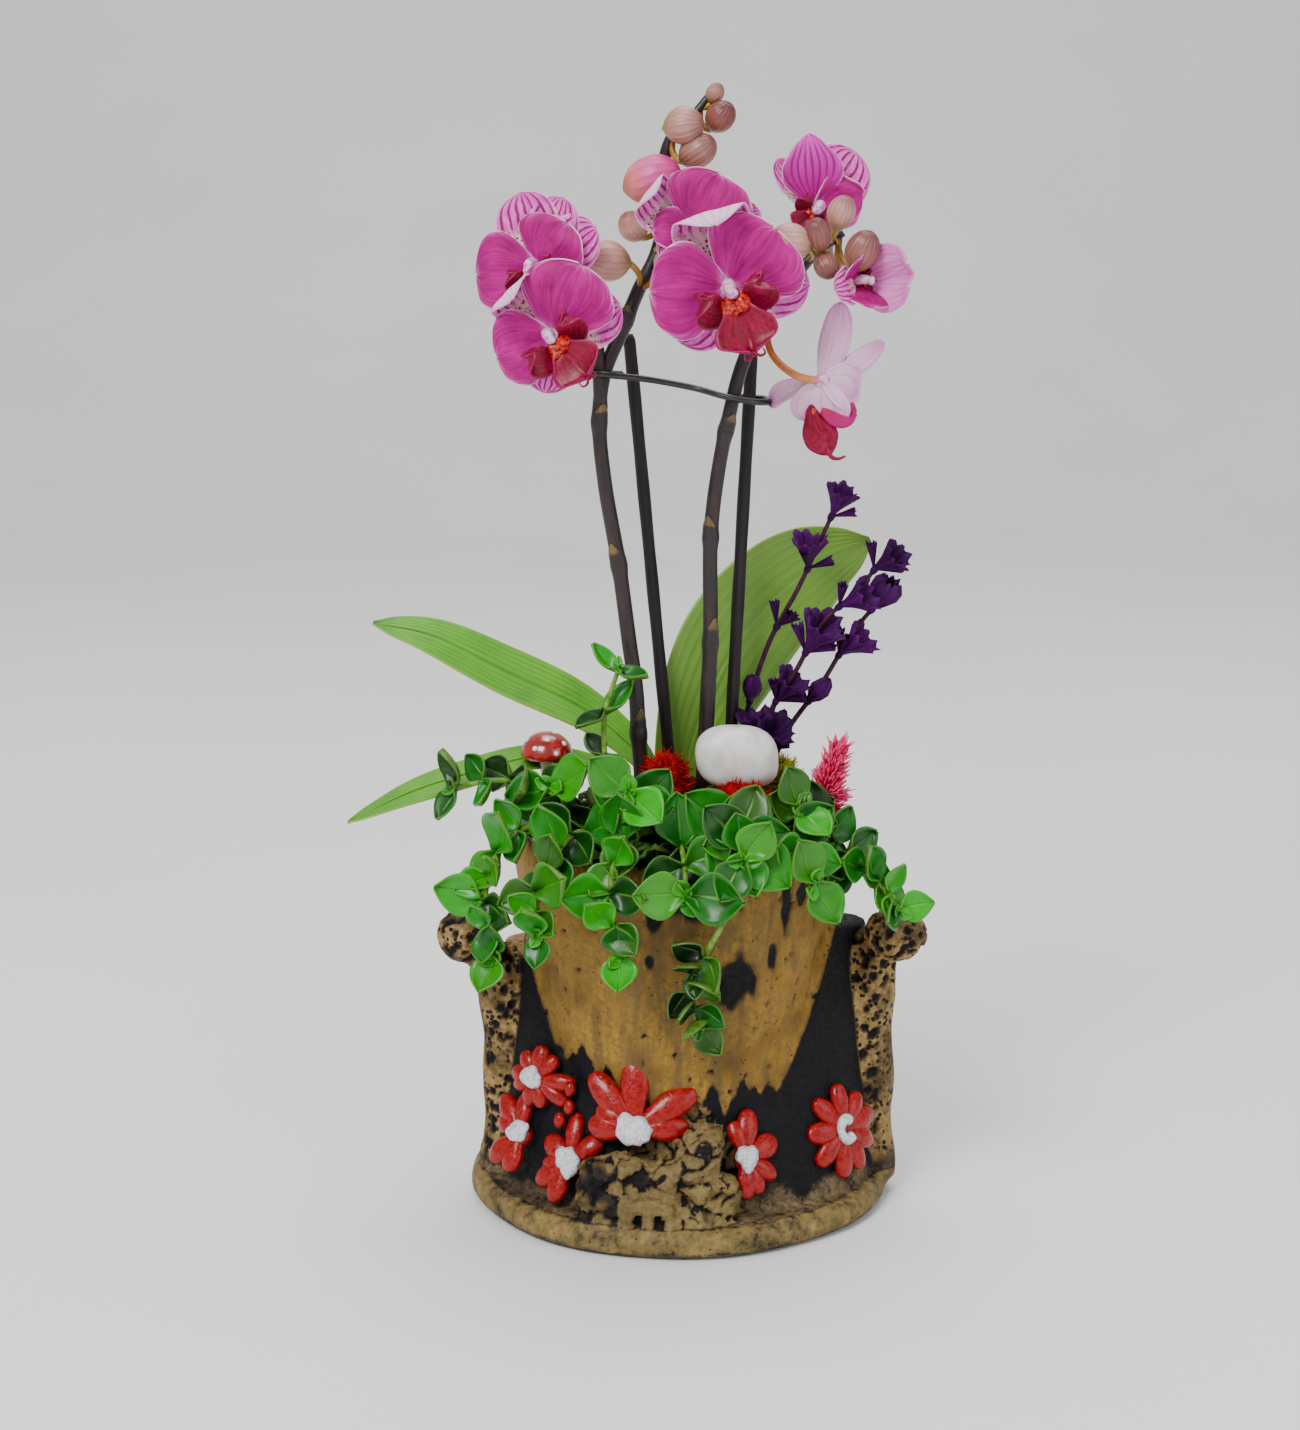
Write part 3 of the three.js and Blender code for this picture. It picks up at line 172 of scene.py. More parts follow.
def carried(line):
    # side and far directions for each ring, turned as little as possible from ring to ring
    way = unit(np.gradient(line, axis=0))
    s = np.eye(3)[np.argmin(np.abs(way[0]))]
    side = np.zeros_like(line)
    for i, w in enumerate(way):
        s = unit(s - w * (s @ w))
        side[i] = s
    return way, side, np.cross(way, side)


def ringsOf(rings, tone=0.5, coat=0):
    # rings joined to their neighbours, with a fan over each end; place is (along, half turn)
    k, n, _ = rings.shape
    points = np.vstack([rings.reshape(-1, 3), rings[0].mean(0), rings[-1].mean(0)])
    i, j = np.meshgrid(np.arange(k - 1), np.arange(n), indexing="ij")
    a, b = (i * n + j).ravel(), (i * n + (j + 1) % n).ravel()
    e = np.arange(n)
    f = (e + 1) % n
    tris = np.vstack([np.stack([np.full(n, k * n), f, e], 1),
                      np.stack([np.full(n, k * n + 1), (k - 1) * n + e, (k - 1) * n + f], 1)])
    uu, vv = np.meshgrid(np.linspace(0, 1, k), 1 - np.abs(np.arange(n) / n * 2 - 1), indexing="ij")
    place = np.vstack([np.stack([uu.ravel(), vv.ravel()], 1), [[0, 0.5], [1, 0.5]]])
    return Shape(points, np.stack([a, b, b + n, a + n], 1), tris, place, tone, coat=coat)


def tubeOf(points, radius, sides, steps, tone=0.5, coat=0, flat=None, across=None, t=None):
    # circle carried along a smooth line, its radius a function of the share of the length; the
    # circle may be an oval whose wide way is given, with its narrow share a function too
    t = np.linspace(0, 1, steps) if t is None else t
    line = lineAt(points, t)
    way, side, far = carried(line)
    if across is not None:
        side = unit(across - way * (way @ np.asarray(across, float))[:, None])
        far = np.cross(way, side)
    r = radius(t)[:, None, None]
    f = flat(t)[:, None, None] if flat else 1.0
    turn = (np.arange(sides) / sides * 2 * np.pi)[None, :, None]
    rings = line[:, None] + r * (np.cos(turn) * side[:, None] + np.sin(turn) * far[:, None] * f)
    return ringsOf(rings, tone, coat)


def turned(profile, sides, centre=(0, 0, 0), axis=(0, 0, 1), ripple=None, tone=0.5, coat=0):
    # (radius, height) profile turned about an axis; ripple(turn, height share) scales the radius
    axis = unit(axis)
    start = np.eye(3)[np.argmin(np.abs(axis))]
    side = unit(start - axis * (start @ axis))
    far = np.cross(axis, side)
    p = np.array(profile, float)
    turn = np.arange(sides) / sides * 2 * np.pi
    r = p[:, :1] * (1 if ripple is None else ripple(turn[None], np.linspace(0, 1, len(p))[:, None]))
    rings = np.asarray(centre, float) + axis * p[:, 1][:, None, None] + r[..., None] * (
        np.cos(turn)[None, :, None] * side + np.sin(turn)[None, :, None] * far)
    return ringsOf(rings, tone, coat)


def lumpOf(centre, radii, axis=(0, 0, 1), sides=28, rows=18, rough=0.0, grain=3.0, seed=0, tone=0.5, coat=0):
    # egg with three radii, its third one on the axis, swollen by noise
    a = np.linspace(0.04, np.pi - 0.04, rows)
    shape = turned(np.stack([np.sin(a), -np.cos(a)], 1), sides, tone=tone, coat=coat)
    axis = unit(axis)
    start = np.eye(3)[np.argmin(np.abs(axis))]
    side = unit(start - axis * (start @ axis))
    basis = np.stack([side, np.cross(axis, side), axis])
    p = shape.points * np.asarray(radii, float)
    if rough:
        p = p * (1 + rough * (noise3(p, grain, seed) + 0.5 * noise3(p, grain * 0.45, seed + 3)))[:, None]
    shape.points = p @ basis + np.asarray(centre, float)
    return shape


def blade(points, side, half, outline, rows, cols, cup, thick, tone=0.5, coat=0):
    # u along a smooth line and v across it: the line, plus v times the half width sideways, plus a cup
    # height along the normal; rows come closer towards the tip
    u = np.sin(np.linspace(0, np.pi / 2, rows))
    v = np.linspace(-1, 1, cols)
    line = lineAt(points, u)
    way = unit(np.gradient(line, axis=0))
    s = unit(np.asarray(side, float) - way * (way @ np.asarray(side, float))[:, None])
    n = np.cross(way, s)
    uu, vv = np.meshgrid(u, v, indexing="ij")
    wide = vv * half * outline(uu)
    mid = line[:, None] + s[:, None] * wide[..., None] + n[:, None] * cup(uu, vv)[..., None]
    return shellOf(mid, thick, tone, coat, u, v)


def copies(shape, at, way, size, tone, turn=None):
    # one small shape set many times: its +Z laid along each way, scaled and moved
    way = unit(way)
    start = np.where(np.abs(way[:, 2:]) < 0.9, [[0, 0, 1.0]], [[1.0, 0, 0]])
    side = unit(np.cross(start, way))
    far = np.cross(way, side)
    if turn is not None:
        c, s = np.cos(turn)[:, None], np.sin(turn)[:, None]
        side, far = side * c + far * s, far * c - side * s
    size = np.broadcast_to(np.asarray(size, float).reshape(len(at), -1), (len(at), 3))
    p = shape.points[None] * size[:, None]
    p = p[..., :1] * side[:, None] + p[..., 1:2] * far[:, None] + p[..., 2:] * way[:, None] + at[:, None]
    n, k, fours = len(at), len(shape.points), len(shape.quads)
    step = (np.arange(n) * k)[:, None, None]
    quads = (shape.quads[None] + step).reshape(-1, 4)
    tris = (shape.tris[None] + step).reshape(-1, 3)
    coats = np.concatenate([np.tile(shape.coat[:fours], n), np.tile(shape.coat[fours:], n)])
    return Shape(p.reshape(-1, 3), quads, tris, np.tile(shape.place, (n, 1)), np.repeat(tone, k), 0.0, coats)


def pieceName(*parts):  # the words of all the parts run together, the first one small
    first, *words = "_".join(parts).split("_")
    return first + "".join(word.title() for word in words)


def put(name, shapes, paints, slot, nodes):
    # makes the mesh, gives it its places, tones and paints, and stands it in for its CAD nodes
    s = joined(shapes) if isinstance(shapes, list) else shapes
    mesh = bpy.data.meshes.new(name)
    mesh.vertices.add(len(s.points))
    mesh.vertices.foreach_set("co", (s.points * 0.001).ravel())
    loops = np.concatenate([s.quads.ravel(), s.tris.ravel()])
    fours, threes = len(s.quads), len(s.tris)
    starts = np.concatenate([np.arange(fours) * 4, fours * 4 + np.arange(threes) * 3])
    mesh.loops.add(len(loops))
    mesh.loops.foreach_set("vertex_index", loops)
    mesh.polygons.add(len(starts))
    mesh.polygons.foreach_set("loop_start", starts)
    mesh.update(calc_edges=True)
    for paint in paints:
        mesh.materials.append(paint.material)
    mesh.polygons.foreach_set("material_index", s.coat.astype(np.int32))
    mesh.uv_layers.new(name="place").data.foreach_set("uv", s.place[loops].ravel())
    for label, values in (("tone", s.tone), ("back", s.back)):
        mesh.attributes.new(label, "FLOAT", "POINT").data.foreach_set("value", values)
    mesh.shade_smooth()
    mesh.validate()
    piece = bpy.data.objects.new(name, mesh)
    bpy.context.scene.collection.objects.link(piece)
    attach(piece, "root")
    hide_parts(*nodes)


# materials

def tint(code):  # a colour code as light, a little richer and darker against the soft studio light
    c = np.array([int(code[k:k + 2], 16) / 255 for k in (0, 2, 4)])
    c = np.where(c <= 0.04045, c / 12.92, ((c + 0.055) / 1.055) ** 2.4)
    return (*np.clip((c.mean() + (c - c.mean()) * 1.3) * 0.86, 0, 1), 1.0)


def mathStep(kind, swapped=False):  # a method that adds one Math node; swapped puts the other value first
    def method(self, *others):
        values = (*others, self) if swapped else (self, *others)
        return self.paint.node("ShaderNodeMath", {"operation": kind}, dict(enumerate(values)))
    return method


class Field:
    # a value in a material: arithmetic on it adds Math nodes
    def __init__(self, paint, socket):
        self.paint, self.socket = paint, socket

    __add__ = mathStep("ADD")
    __radd__ = mathStep("ADD", swapped=True)
    __sub__ = mathStep("SUBTRACT")
    __rsub__ = mathStep("SUBTRACT", swapped=True)
    __mul__ = mathStep("MULTIPLY")
    __rmul__ = mathStep("MULTIPLY", swapped=True)
    __truediv__ = mathStep("DIVIDE")
    __rtruediv__ = mathStep("DIVIDE", swapped=True)
    sine = mathStep("SINE")
    size = mathStep("ABSOLUTE")
    most = mathStep("MAXIMUM")

    def step(self, a, b, low=0.0, high=1.0):  # from low at a to high at b, level beyond
        return self.paint.node("ShaderNodeMapRange", {"interpolation_type": "SMOOTHSTEP"},
                               {"Value": self, "From Min": a, "From Max": b, "To Min": low, "To Max": high})


class Paint:
    # one material: numbers that stay the same sit on the shader, fields are linked to it
    sockets = {"rough": "Roughness", "gloss": "Specular IOR Level", "metal": "Metallic",
               "sheen": "Sheen Weight",
               "coat": "Coat Weight", "coatRough": "Coat Roughness", "soft": "Subsurface Weight",
               "reach": "Subsurface Scale"}

    def __init__(self, name, **fixed):
        self.material = bpy.data.materials.new(name)
        self.material.use_nodes = True
        self.tree = self.material.node_tree
        self.shader = self.tree.nodes["Principled BSDF"]
        for key, value in fixed.items():
            self.shader.inputs[self.sockets[key]].default_value = value

    def node(self, kind, settings=None, inputs=None, out=0):
        made = self.tree.nodes.new(kind)
        for key, value in (settings or {}).items():
            if key == "stops":
                while len(made.color_ramp.elements) < len(value):
                    made.color_ramp.elements.new(0.5)
                for stop, (at, colour) in zip(made.color_ramp.elements, value):
                    stop.position, stop.color = at, tint(colour)
            else:
                setattr(made, key, value)
        for key, value in (inputs or {}).items():
            if isinstance(value, Field):
                self.tree.links.new(value.socket, made.inputs[key])
            else:
                made.inputs[key].default_value = value
        return Field(self, made.outputs[out])

    def spot(self, stretch=(1, 1, 1)):  # object coordinates in millimetres, stretched on each axis
        here = self.node("ShaderNodeTexCoord", out="Object")
        scale = tuple(1000 * k for k in stretch)
        return self.node("ShaderNodeVectorMath", {"operation": "MULTIPLY"}, {0: here, 1: scale})

    def mark(self, name):  # a number stored at each point
        return self.node("ShaderNodeAttribute", {"attribute_name": name}, out="Fac")

    def along(self):  # the two places on the surface as separate fields
        here = self.node("ShaderNodeUVMap", {"uv_map": "place"})
        parts = self.node("ShaderNodeSeparateXYZ", None, {0: here}).socket.node
        return Field(self, parts.outputs[0]), Field(self, parts.outputs[1])

    def at(self, x, y, z):  # a place put together from three fields
        return self.node("ShaderNodeCombineXYZ", None, {0: x, 1: y, 2: z})

    def noise(self, size, detail=3.0, at=None, rough=0.55):  # size is that of one patch
        return self.node("ShaderNodeTexNoise", {"noise_dimensions": "3D"},
                         {"Vector": at or self.spot(), "Scale": 1 / size, "Detail": detail, "Roughness": rough})

    def cells(self, size, at=None):  # distance to the nearest of random points, one in each cube
        return self.node("ShaderNodeTexVoronoi", None, {"Vector": at or self.spot(), "Scale": 1 / size})

    def ramp(self, value, *stops):
        return self.node("ShaderNodeValToRGB", {"stops": stops}, {"Fac": value})

    def blend(self, share, a, b):  # colour a where the share is 0, b where it is 1
        a, b = (tint(c) if isinstance(c, str) else c for c in (a, b))
        return self.node("ShaderNodeMix", {"data_type": "RGBA"}, {0: share, 6: a, 7: b}, out=2)

    def finish(self, colour, rough=None, height=None, depth=0.3):
        # depth is the height of the relief in millimetres
        self.tree.links.new(colour.socket, self.shader.inputs["Base Color"])
        if isinstance(rough, Field):
            self.tree.links.new(rough.socket, self.shader.inputs["Roughness"])
        elif rough is not None:
            self.shader.inputs["Roughness"].default_value = rough
        if height is not None:
            bump = self.node("ShaderNodeBump", None,
                             {"Height": height, "Strength": 1.0, "Distance": depth * 0.001})
            self.tree.links.new(bump.socket, self.shader.inputs["Normal"])


def grainPaint(name, grain, stops, rough, depth, detail=3, stretch=(1, 1, 1), **fixed):
    # one noise gives the colour, the relief, and the roughness where that lies between two values
    paint = Paint(name, **fixed)
    fine = paint.noise(grain, detail, paint.spot(stretch))
    roughness = fine.step(0.3, 0.7, *rough) if isinstance(rough, tuple) else rough
    paint.finish(paint.ramp(fine, *stops), roughness, fine, depth)
    return paint


# planter: base plate, trunk with torn bark, side webs, knobbed arms, rocks

planterSet = {"voxel": 1.12, "rim": 112, "wall": 6, "floor": 16, "pitDepth": 1.2, "crackDepth": 1.3,
              "hollowDepth": 0.9, "archDepth": 2.4, "grain": 0.2, "barkStep": 1.5}
# dark panels of the bark: x, z, half width, half height
barkHollows = [(15, 77, 5.5, 9), (3, 103, 6, 5), (31, 100, 1.6, 9), (21, 76, 1.3, 5), (36, 101, 2.4, 4),
               (-1, 88, 1.8, 3), (-8, 97, 2.4, 4), (-9, 84, 1.4, 2.4), (-26, 99, 1.5, 6), (27, 84, 1.5, 5)]
# the trunk's radius at its heights
trunkLine = [(7, 50), (12, 47), (20, 43), (30, 40.5), (42, 39.5), (55, 40), (70, 41.8), (85, 44.2), (100, 46.6),
             (108, 47.6), (112, 47)]
armLines = [[(-53, -5, 5), (-53, -5, 30), (-53.5, -6, 58), (-56, -7, 72), (-61, -9, 80)],
            [(58.5, -5, 5), (59, -5, 34), (58.6, -6, 62), (60, -7, 76), (63, -9, 82)]]
# knobs: centre and half sizes; rocks: also the way each one points
knobs = [((-64.5, -10, 82.7), (8.3, 8.3, 8.3)), ((65.2, -10, 83), (9.6, 8.3, 8.3))]
rocks = [((5, -47, 28), (10.5, 6, 10), (0.5, -0.2, 0.8)), ((-4, -48, 19), (7, 6.5, 9), (0.6, -0.3, 0.5)),
         ((-14, -47.5, 21), (9, 6, 7), (0.3, -0.5, 0.8)), ((-24, -46.5, 20), (6.5, 6, 7), (-0.3, -0.3, 0.9)),
         ((-25.5, -48, 13), (5, 6, 7), (-0.4, -0.4, 0.8)), ((-13, -50, 13), (10, 6, 6), (0, -0.4, 0.9)),
         ((8, -49, 17), (9.5, 6, 8), (0.2, -0.5, 0.8)), ((4, -50, 11), (12, 6, 5), (0, -0.2, 1))]


def turnOf(p):  # distance from the planter's axis and direction round it
    return np.hypot(p[:, 0], p[:, 1]), np.arctan2(p[:, 1], p[:, 0])


def trunkRadius(z):  # straight between the radii at the trunk's heights
    return np.interp(z, *zip(*trunkLine))


def barkEdge(angle):  # height of the torn lower edge of the bark: two slow waves and a row of teeth
    tooth = np.abs(((np.degrees(angle) * 0.071 + 100) % 1) - 0.5) * 2
    wave = 6 * np.sin(angle * 2 + 0.6) + 4 * np.sin(angle * 5 + 1)
    ragged = 3 * np.sin(angle * 23 + 2 * np.sin(angle * 9)) + 1.5 * np.sin(angle * 61)
    return 46 + wave * 0.8 - 6 * tooth + ragged * (0.4 + 0.6 * tooth)


def webSize(z):  # half width and half depth of the side webs at a height
    return (np.interp(z, [5, 20, 45, 80], [60, 57.5, 56, 55]),
            np.interp(z, [5, 20, 35, 50, 65, 80], [48, 44, 39, 33, 27, 17]))


def plateBlank():  # turned plate, made oval and a little uneven round its edge
    edge = [(0.01, 0), (60, 0), (63.6, 0.9), (64.7, 3.4), (64.2, 6.6), (62, 8.4), (58, 8.7), (0.01, 8.7)]
    plate = turned(spaced(np.array(edge, float), np.linspace(0, 1, 70)), 200)
    _, angle = turnOf(plate.points)
    uneven = 1 + 0.008 * np.sin(angle * 3 + 1) + 0.005 * np.sin(angle * 8)
    plate.points *= np.stack([uneven, uneven * 61 / 64.5, np.ones_like(uneven)], 1)
    return plate


def trunkBlank():
    # turned bucket with its lip and inner wall; outside, the bark stands out above its torn edge
    rim, wall, floor = planterSet["rim"], planterSet["wall"], planterSet["floor"]
    heights = np.linspace(6, rim, 80)
    outer = [(0.01, 6), *zip(trunkRadius(heights), heights)]
    lip = [(trunkRadius(rim) - 2.2, rim + 0.6), (trunkRadius(rim) - 4.6, rim)]
    inner = [(trunkRadius(z) - wall, z) for z in np.linspace(rim - 4, floor + 2, 30)]
    profile = np.array([*outer, *lip, *inner, (34, floor), (0.01, floor)], float)
    trunk = turned(spaced(profile, np.linspace(0, 1, 230)), 240)
    r, angle = turnOf(trunk.points)
    z = trunk.points[:, 2]
    bark = planterSet["barkStep"] * smooth(-2, 2, z - barkEdge(angle)) * (1 - 0.5 * smooth(104, rim, z))
    swollen = 0.6 * np.sin(angle * 3 + z * 0.05) + 0.4 * np.sin(angle * 7 - z * 0.08)
    outside = (r > trunkRadius(z) - 3) & (z > 10)
    more = np.where(outside, 1 + (bark + swollen) / np.maximum(r, 1), 1)
    trunk.points = trunk.points * np.stack([more, more, np.ones_like(more)], 1)
    return trunk


def webBlank(rows=60, sides=160):
    # oval column made a sleeve round the trunk: its inner wall stays inside the bucket's wall
    z = np.linspace(5, 80, rows)
    wide, deep = webSize(z)
    turn = np.arange(sides) / sides * 2 * np.pi
    x = wide[:, None] * np.cos(turn) + 2
    dip = smooth(70, 80, z)[:, None] * np.where(x > 0, 5, -1)
    outer = np.stack([x, deep[:, None] * np.sin(turn), z[:, None] + dip], -1)
    r = np.hypot(outer[..., 0], outer[..., 1])
    outer[..., 2] = np.where(r < 30, np.minimum(outer[..., 2], 14), outer[..., 2])  # kept out of the bowl
    trunk = trunkRadius(outer[..., 2])[..., None]
    way = outer[..., :2] / r[..., None]
    inner = outer.copy()
    inner[..., :2] = way * (trunk - 3)
    outer[..., :2] = np.where(r[..., None] > trunk - 2, outer[..., :2], way * (trunk - 2))
    loop = np.concatenate([outer, inner[::-1]], 0)
    i, j = np.meshgrid(np.arange(2 * rows), np.arange(sides), indexing="ij")
    above, beside = (i + 1) % (2 * rows), (j + 1) % sides
    corners = [i * sides + j, i * sides + beside, above * sides + beside, above * sides + j]
    return Shape(loop.reshape(-1, 3), np.stack(corners, -1))


def rockBlank(k, at, radii, axis):  # a lump broken into flat slabs: each cell steps in or out by its own amount
    rock = lumpOf(at, radii, axis, 44, 30, 0.1, 5, k)
    mark = cells3(rock.points, 6.5, k)[2]
    rock.points += unit(rock.points - np.array(at)) * ((mark - 0.5) * 2.4)[:, None]
    return rock


def notchedBlock():
    # front outline with two arched notches, carried back into the rocks and turned a little
    halfTurn = np.linspace(np.pi, 0, 9)
    arch = lambda x: [(x + 1.4 * np.cos(a), 2.4 + 1.4 * np.sin(a)) for a in halfTurn]
    outline = np.array([(-7.5, -0.6), (-5, -0.6), *arch(-3.6), (-2.2, -0.6), (1, -0.6), *arch(2.4), (3.8, -0.6),
                        (6.8, -0.6), (7.2, 7), (4, 7.9), (1, 8.6), (-3, 8.2), (-7, 8.2)])
    middle = np.array([0, 5.4])
    c, s = np.cos(np.radians(-4)), np.sin(np.radians(-4))
    rings = []
    for depth, share in ((0, 0.002), (0, 0.96), (0.6, 1.0), (7, 1.0), (7, 0.002)):
        x, z = (middle + (outline - middle) * share).T
        y = depth - 7.5
        rings.append(np.stack([x * c - y * s - 8.8, x * s + y * c - 50, z + 8.5], 1))
    return ringsOf(np.array(rings)[:, ::-1])


def planterBlank():  # all the bodies of the casting, which overlap
    armRadius = lambda t: 6.8 + 1.6 * smooth(0.25, 0, t) + 0.35 * np.sin(t * 19)
    parts = [plateBlank(), trunkBlank(), webBlank()]
    parts += [tubeOf(line, armRadius, 40, 70) for line in armLines]
    parts += [lumpOf(at, radii, sides=40, rows=26, rough=0.03, grain=5) for at, radii in knobs]
    parts += [rockBlank(k, *rock) for k, rock in enumerate(rocks)]
    return joined([*parts, notchedBlock()])


def remeshed(shape, size):
    # one skin round all the overlapping bodies, on a grid of cubes, with the normal at each of its points
    mesh = bpy.data.meshes.new("blank")
    mesh.from_pydata((shape.points * 0.001).tolist(), [], shape.quads.tolist() + shape.tris.tolist())
    blank = bpy.data.objects.new("blank", mesh)
    bpy.context.scene.collection.objects.link(blank)
    skin = blank.modifiers.new("skin", "REMESH")
    skin.mode, skin.voxel_size = "VOXEL", size * 0.001
    made = blank.evaluated_get(bpy.context.evaluated_depsgraph_get()).to_mesh()
    points = np.zeros(len(made.vertices) * 3)
    made.vertices.foreach_get("co", points)
    normals = np.zeros(len(made.vertices) * 3)
    made.vertices.foreach_get("normal", normals)
    corners = np.zeros(len(made.loops), int)
    made.loops.foreach_get("vertex_index", corners)
    bpy.data.objects.remove(blank)
    return Shape(points.reshape(-1, 3) * 1000, corners.reshape(-1, 4)), normals.reshape(-1, 3)


def planterZones(p):
    # how far each point belongs to the arms, knobs, rocks, bark and block, 0 to 1, by its distance from each
    x, y, z = p.T
    r, angle = turnOf(p)
    trunk = smooth(3.4, 2.2, np.abs(r - trunkRadius(z) - 0.8)) * smooth(8.5, 10.5, z)
    armPaths = [lineAt(line, np.linspace(0, 1, 40)) for line in armLines]
    armGap = np.min([np.linalg.norm(p[:, None] - path[None], axis=2).min(1) for path in armPaths], 0)
    knobGap = np.min([np.linalg.norm(p - np.array(at), axis=1) - radii[1] for at, radii in knobs], 0)
    arm = np.maximum(smooth(9.4, 7.6, armGap), smooth(2, 1, knobGap)) * smooth(8.5, 12, z) * (1 - trunk)
    rock = np.max([smooth(1.35, 1.05, np.linalg.norm((p - np.array(at)) / (max(radii) + 1), axis=1))
                   for at, radii, _ in rocks], 0) * smooth(8.3, 9.5, z) * (y < -40)
    block = (np.abs(x + 8.8) < 9) * smooth(-50.2, -51, y) * smooth(8.4, 8.9, z) * smooth(18.2, 17.4, z)
    bark = trunk * smooth(-1, 1.5, z - barkEdge(angle))
    return dict(arm=arm, knob=smooth(2, 0, knobGap), rock=rock, block=block, bark=bark)


def planterPits(p, zone):
    # round pits about the cell points: deep and close on the arms, sparse on the bark and the plate's rim
    x, y, z = p.T
    r, _ = turnOf(p)
    near, _, mark = cells3(p * [1, 1, 0.85], 3.1, 11)
    # an arm's outer strip stays smooth
    inside = np.clip(smooth(-1, 2, 61 - np.abs(x)) + smooth(62, 72, z), 0, 1)
    facing = np.maximum(smooth(4, -6, y), zone["knob"])
    armPits = smooth(1.55, 0.9, near) * (mark > 0.06) * zone["arm"] * inside * facing
    near, _, mark = cells3(p, 4.3, 23)
    barkPits = smooth(1.2, 0.5, near) * (mark > 0.72) * zone["bark"]
    near, _, mark = cells3(p, 4.4, 31)
    rimPits = 0.7 * smooth(1.2, 0.5, near) * (mark > 0.8) * smooth(9, 8, z) * smooth(58, 61, r)
    return np.max([armPits, barkPits, rimPits], 0)


def planterRelief(p, zone):
    # grain that runs up the trunk, torn hollows in the bark, cracks between the rocks' slabs, arched notches
    x, y, z = p.T
    r, angle = turnOf(p)
    run = np.stack([angle * 42, z * 0.16, r * 0], 1)
    grain = noise3(run, 3.2, 5) + 0.5 * noise3(run, 1.5, 6)
    near, second, mark = cells3(p + 1.5 * noise3(p, 4, 9)[:, None], 6.2, 41)
    crack = smooth(0.8, 0.15, second - near) * zone["rock"]
    stone = zone["rock"] * (noise3(p * [1, 1, 1.6], 2.6, 3) * 0.4 + (mark - 0.5) * 1.5)
    blur = 0.3 * noise3(p, 2.5, 17)
    hollow = np.max([smooth(1.35, 0.45, np.hypot((x - a) / w, (z - h) / t) + blur)
                     for a, h, w, t in barkHollows], 0) * (y < 0)
    arch = np.max([smooth(1.15, 0.85, np.hypot((x - a) / 1.5, np.maximum(z - 10.8, 0) / 1.5))
                   for a in (-12.4, -6.4)], 0) * zone["block"]
    return dict(grain=grain, crack=crack, stone=stone, hollow=hollow, arch=arch, pits=planterPits(p, zone))


def planterPush(p, normal, zone, relief):
    # how far each point moves along its normal: every kind of relief in its own zone, none on the block's face
    z = p[:, 2]
    r, _ = turnOf(p)
    push = zone["bark"] * (planterSet["grain"] * relief["grain"] + 0.5 * noise3(p, 11, 8)) + relief["stone"]
    push -= planterSet["pitDepth"] * relief["pits"] + planterSet["crackDepth"] * relief["crack"]
    push -= planterSet["hollowDepth"] * relief["hollow"] * zone["bark"]
    push += (1 - zone["bark"]) * (1 - zone["rock"]) * 0.25 * noise3(p, 4.5, 12) * smooth(1.2, 3, z)
    push *= smooth(0.2, 1.0, z) * (r > trunkRadius(z) - 4.5) * (1 - zone["block"])
    return push - planterSet["archDepth"] * relief["arch"] * (normal[:, 1] < -0.6)


def planterShares(p, zone, relief):
    # shares of the paints from 0 to 1: ochre on the bark, tan on the arms, rocks and block, ledge on the
    # plate's rim, and ground low down beside rocks and rim
    x, _, z = p.T
    r, angle = turnOf(p)
    clear, cloud = 1 - relief["pits"], noise3(p, 6, 77)
    # side rises to 1 where the trunk faces front and back, and falls to 0 at its left and right;
    # the ochre share drops by a quarter with it, as painted shade
    side = smooth(0.82, 0.2, np.abs(np.sin(angle + np.pi / 2)))
    ochre = zone["bark"] * smooth(-1.5, 3, z - barkEdge(angle)) * (1 - 0.9 * relief["pits"])
    shade = (1 - 0.95 * relief["hollow"]) * (1 - 0.16 * smooth(-0.1, -0.9, relief["grain"]))
    ochre *= shade * (1 - 0.25 * side)
    tan = zone["arm"] * clear * (0.62 + 0.3 * noise3(p, 7, 15))
    leftNotch = smooth(74, 77, z) * smooth(87, 84, z) * smooth(46.5, 48, r) * (x < 0) * (1 - zone["arm"]) * 0.9
    slabs = relief["stone"] + cloud + 0.03 * (x + 10) + 0.03 * (z - 20)
    rock = zone["rock"] * (1 - relief["crack"]) * (0.25 + 0.75 * smooth(-0.8, 0.5, slabs))
    rock = np.maximum(rock * (1 - zone["block"]), zone["block"] * (1 - relief["arch"]))
    oval = r / (1 - 0.055 * np.abs(np.sin(angle)))
    nearRim = smooth(9.4, 7.8, z) * smooth(58.6, 61.6, oval)
    ledge = nearRim * clear * (0.35 + 0.65 * smooth(1.2, 3.4, z + 1.2 * cloud))
    ground = smooth(21, 11, z + 4 * cloud + 0.1 * np.abs(x)) * (1 - ledge) * (1 - zone["rock"])
    tan = np.maximum(np.maximum(tan, leftNotch), rock * 0.95)
    return (np.clip(share, 0, 1) for share in (ochre, tan, ledge, ground))


def planterPiece():
    # the blank's skin, each point moved along its normal by the relief, none below the ground
    skin, normal = remeshed(planterBlank(), planterSet["voxel"])
    p = skin.points
    zone = planterZones(p)
    relief = planterRelief(p, zone)
    ochre, tan, ledge, ground = planterShares(p, zone, relief)
    skin.points = p + normal * planterPush(p, normal, zone, relief)[:, None]
    skin.points[:, 2] = np.maximum(skin.points[:, 2], 0.0)
    skin.place, skin.tone, skin.back = np.stack([ochre, tan], 1), ledge, ground
    return skin


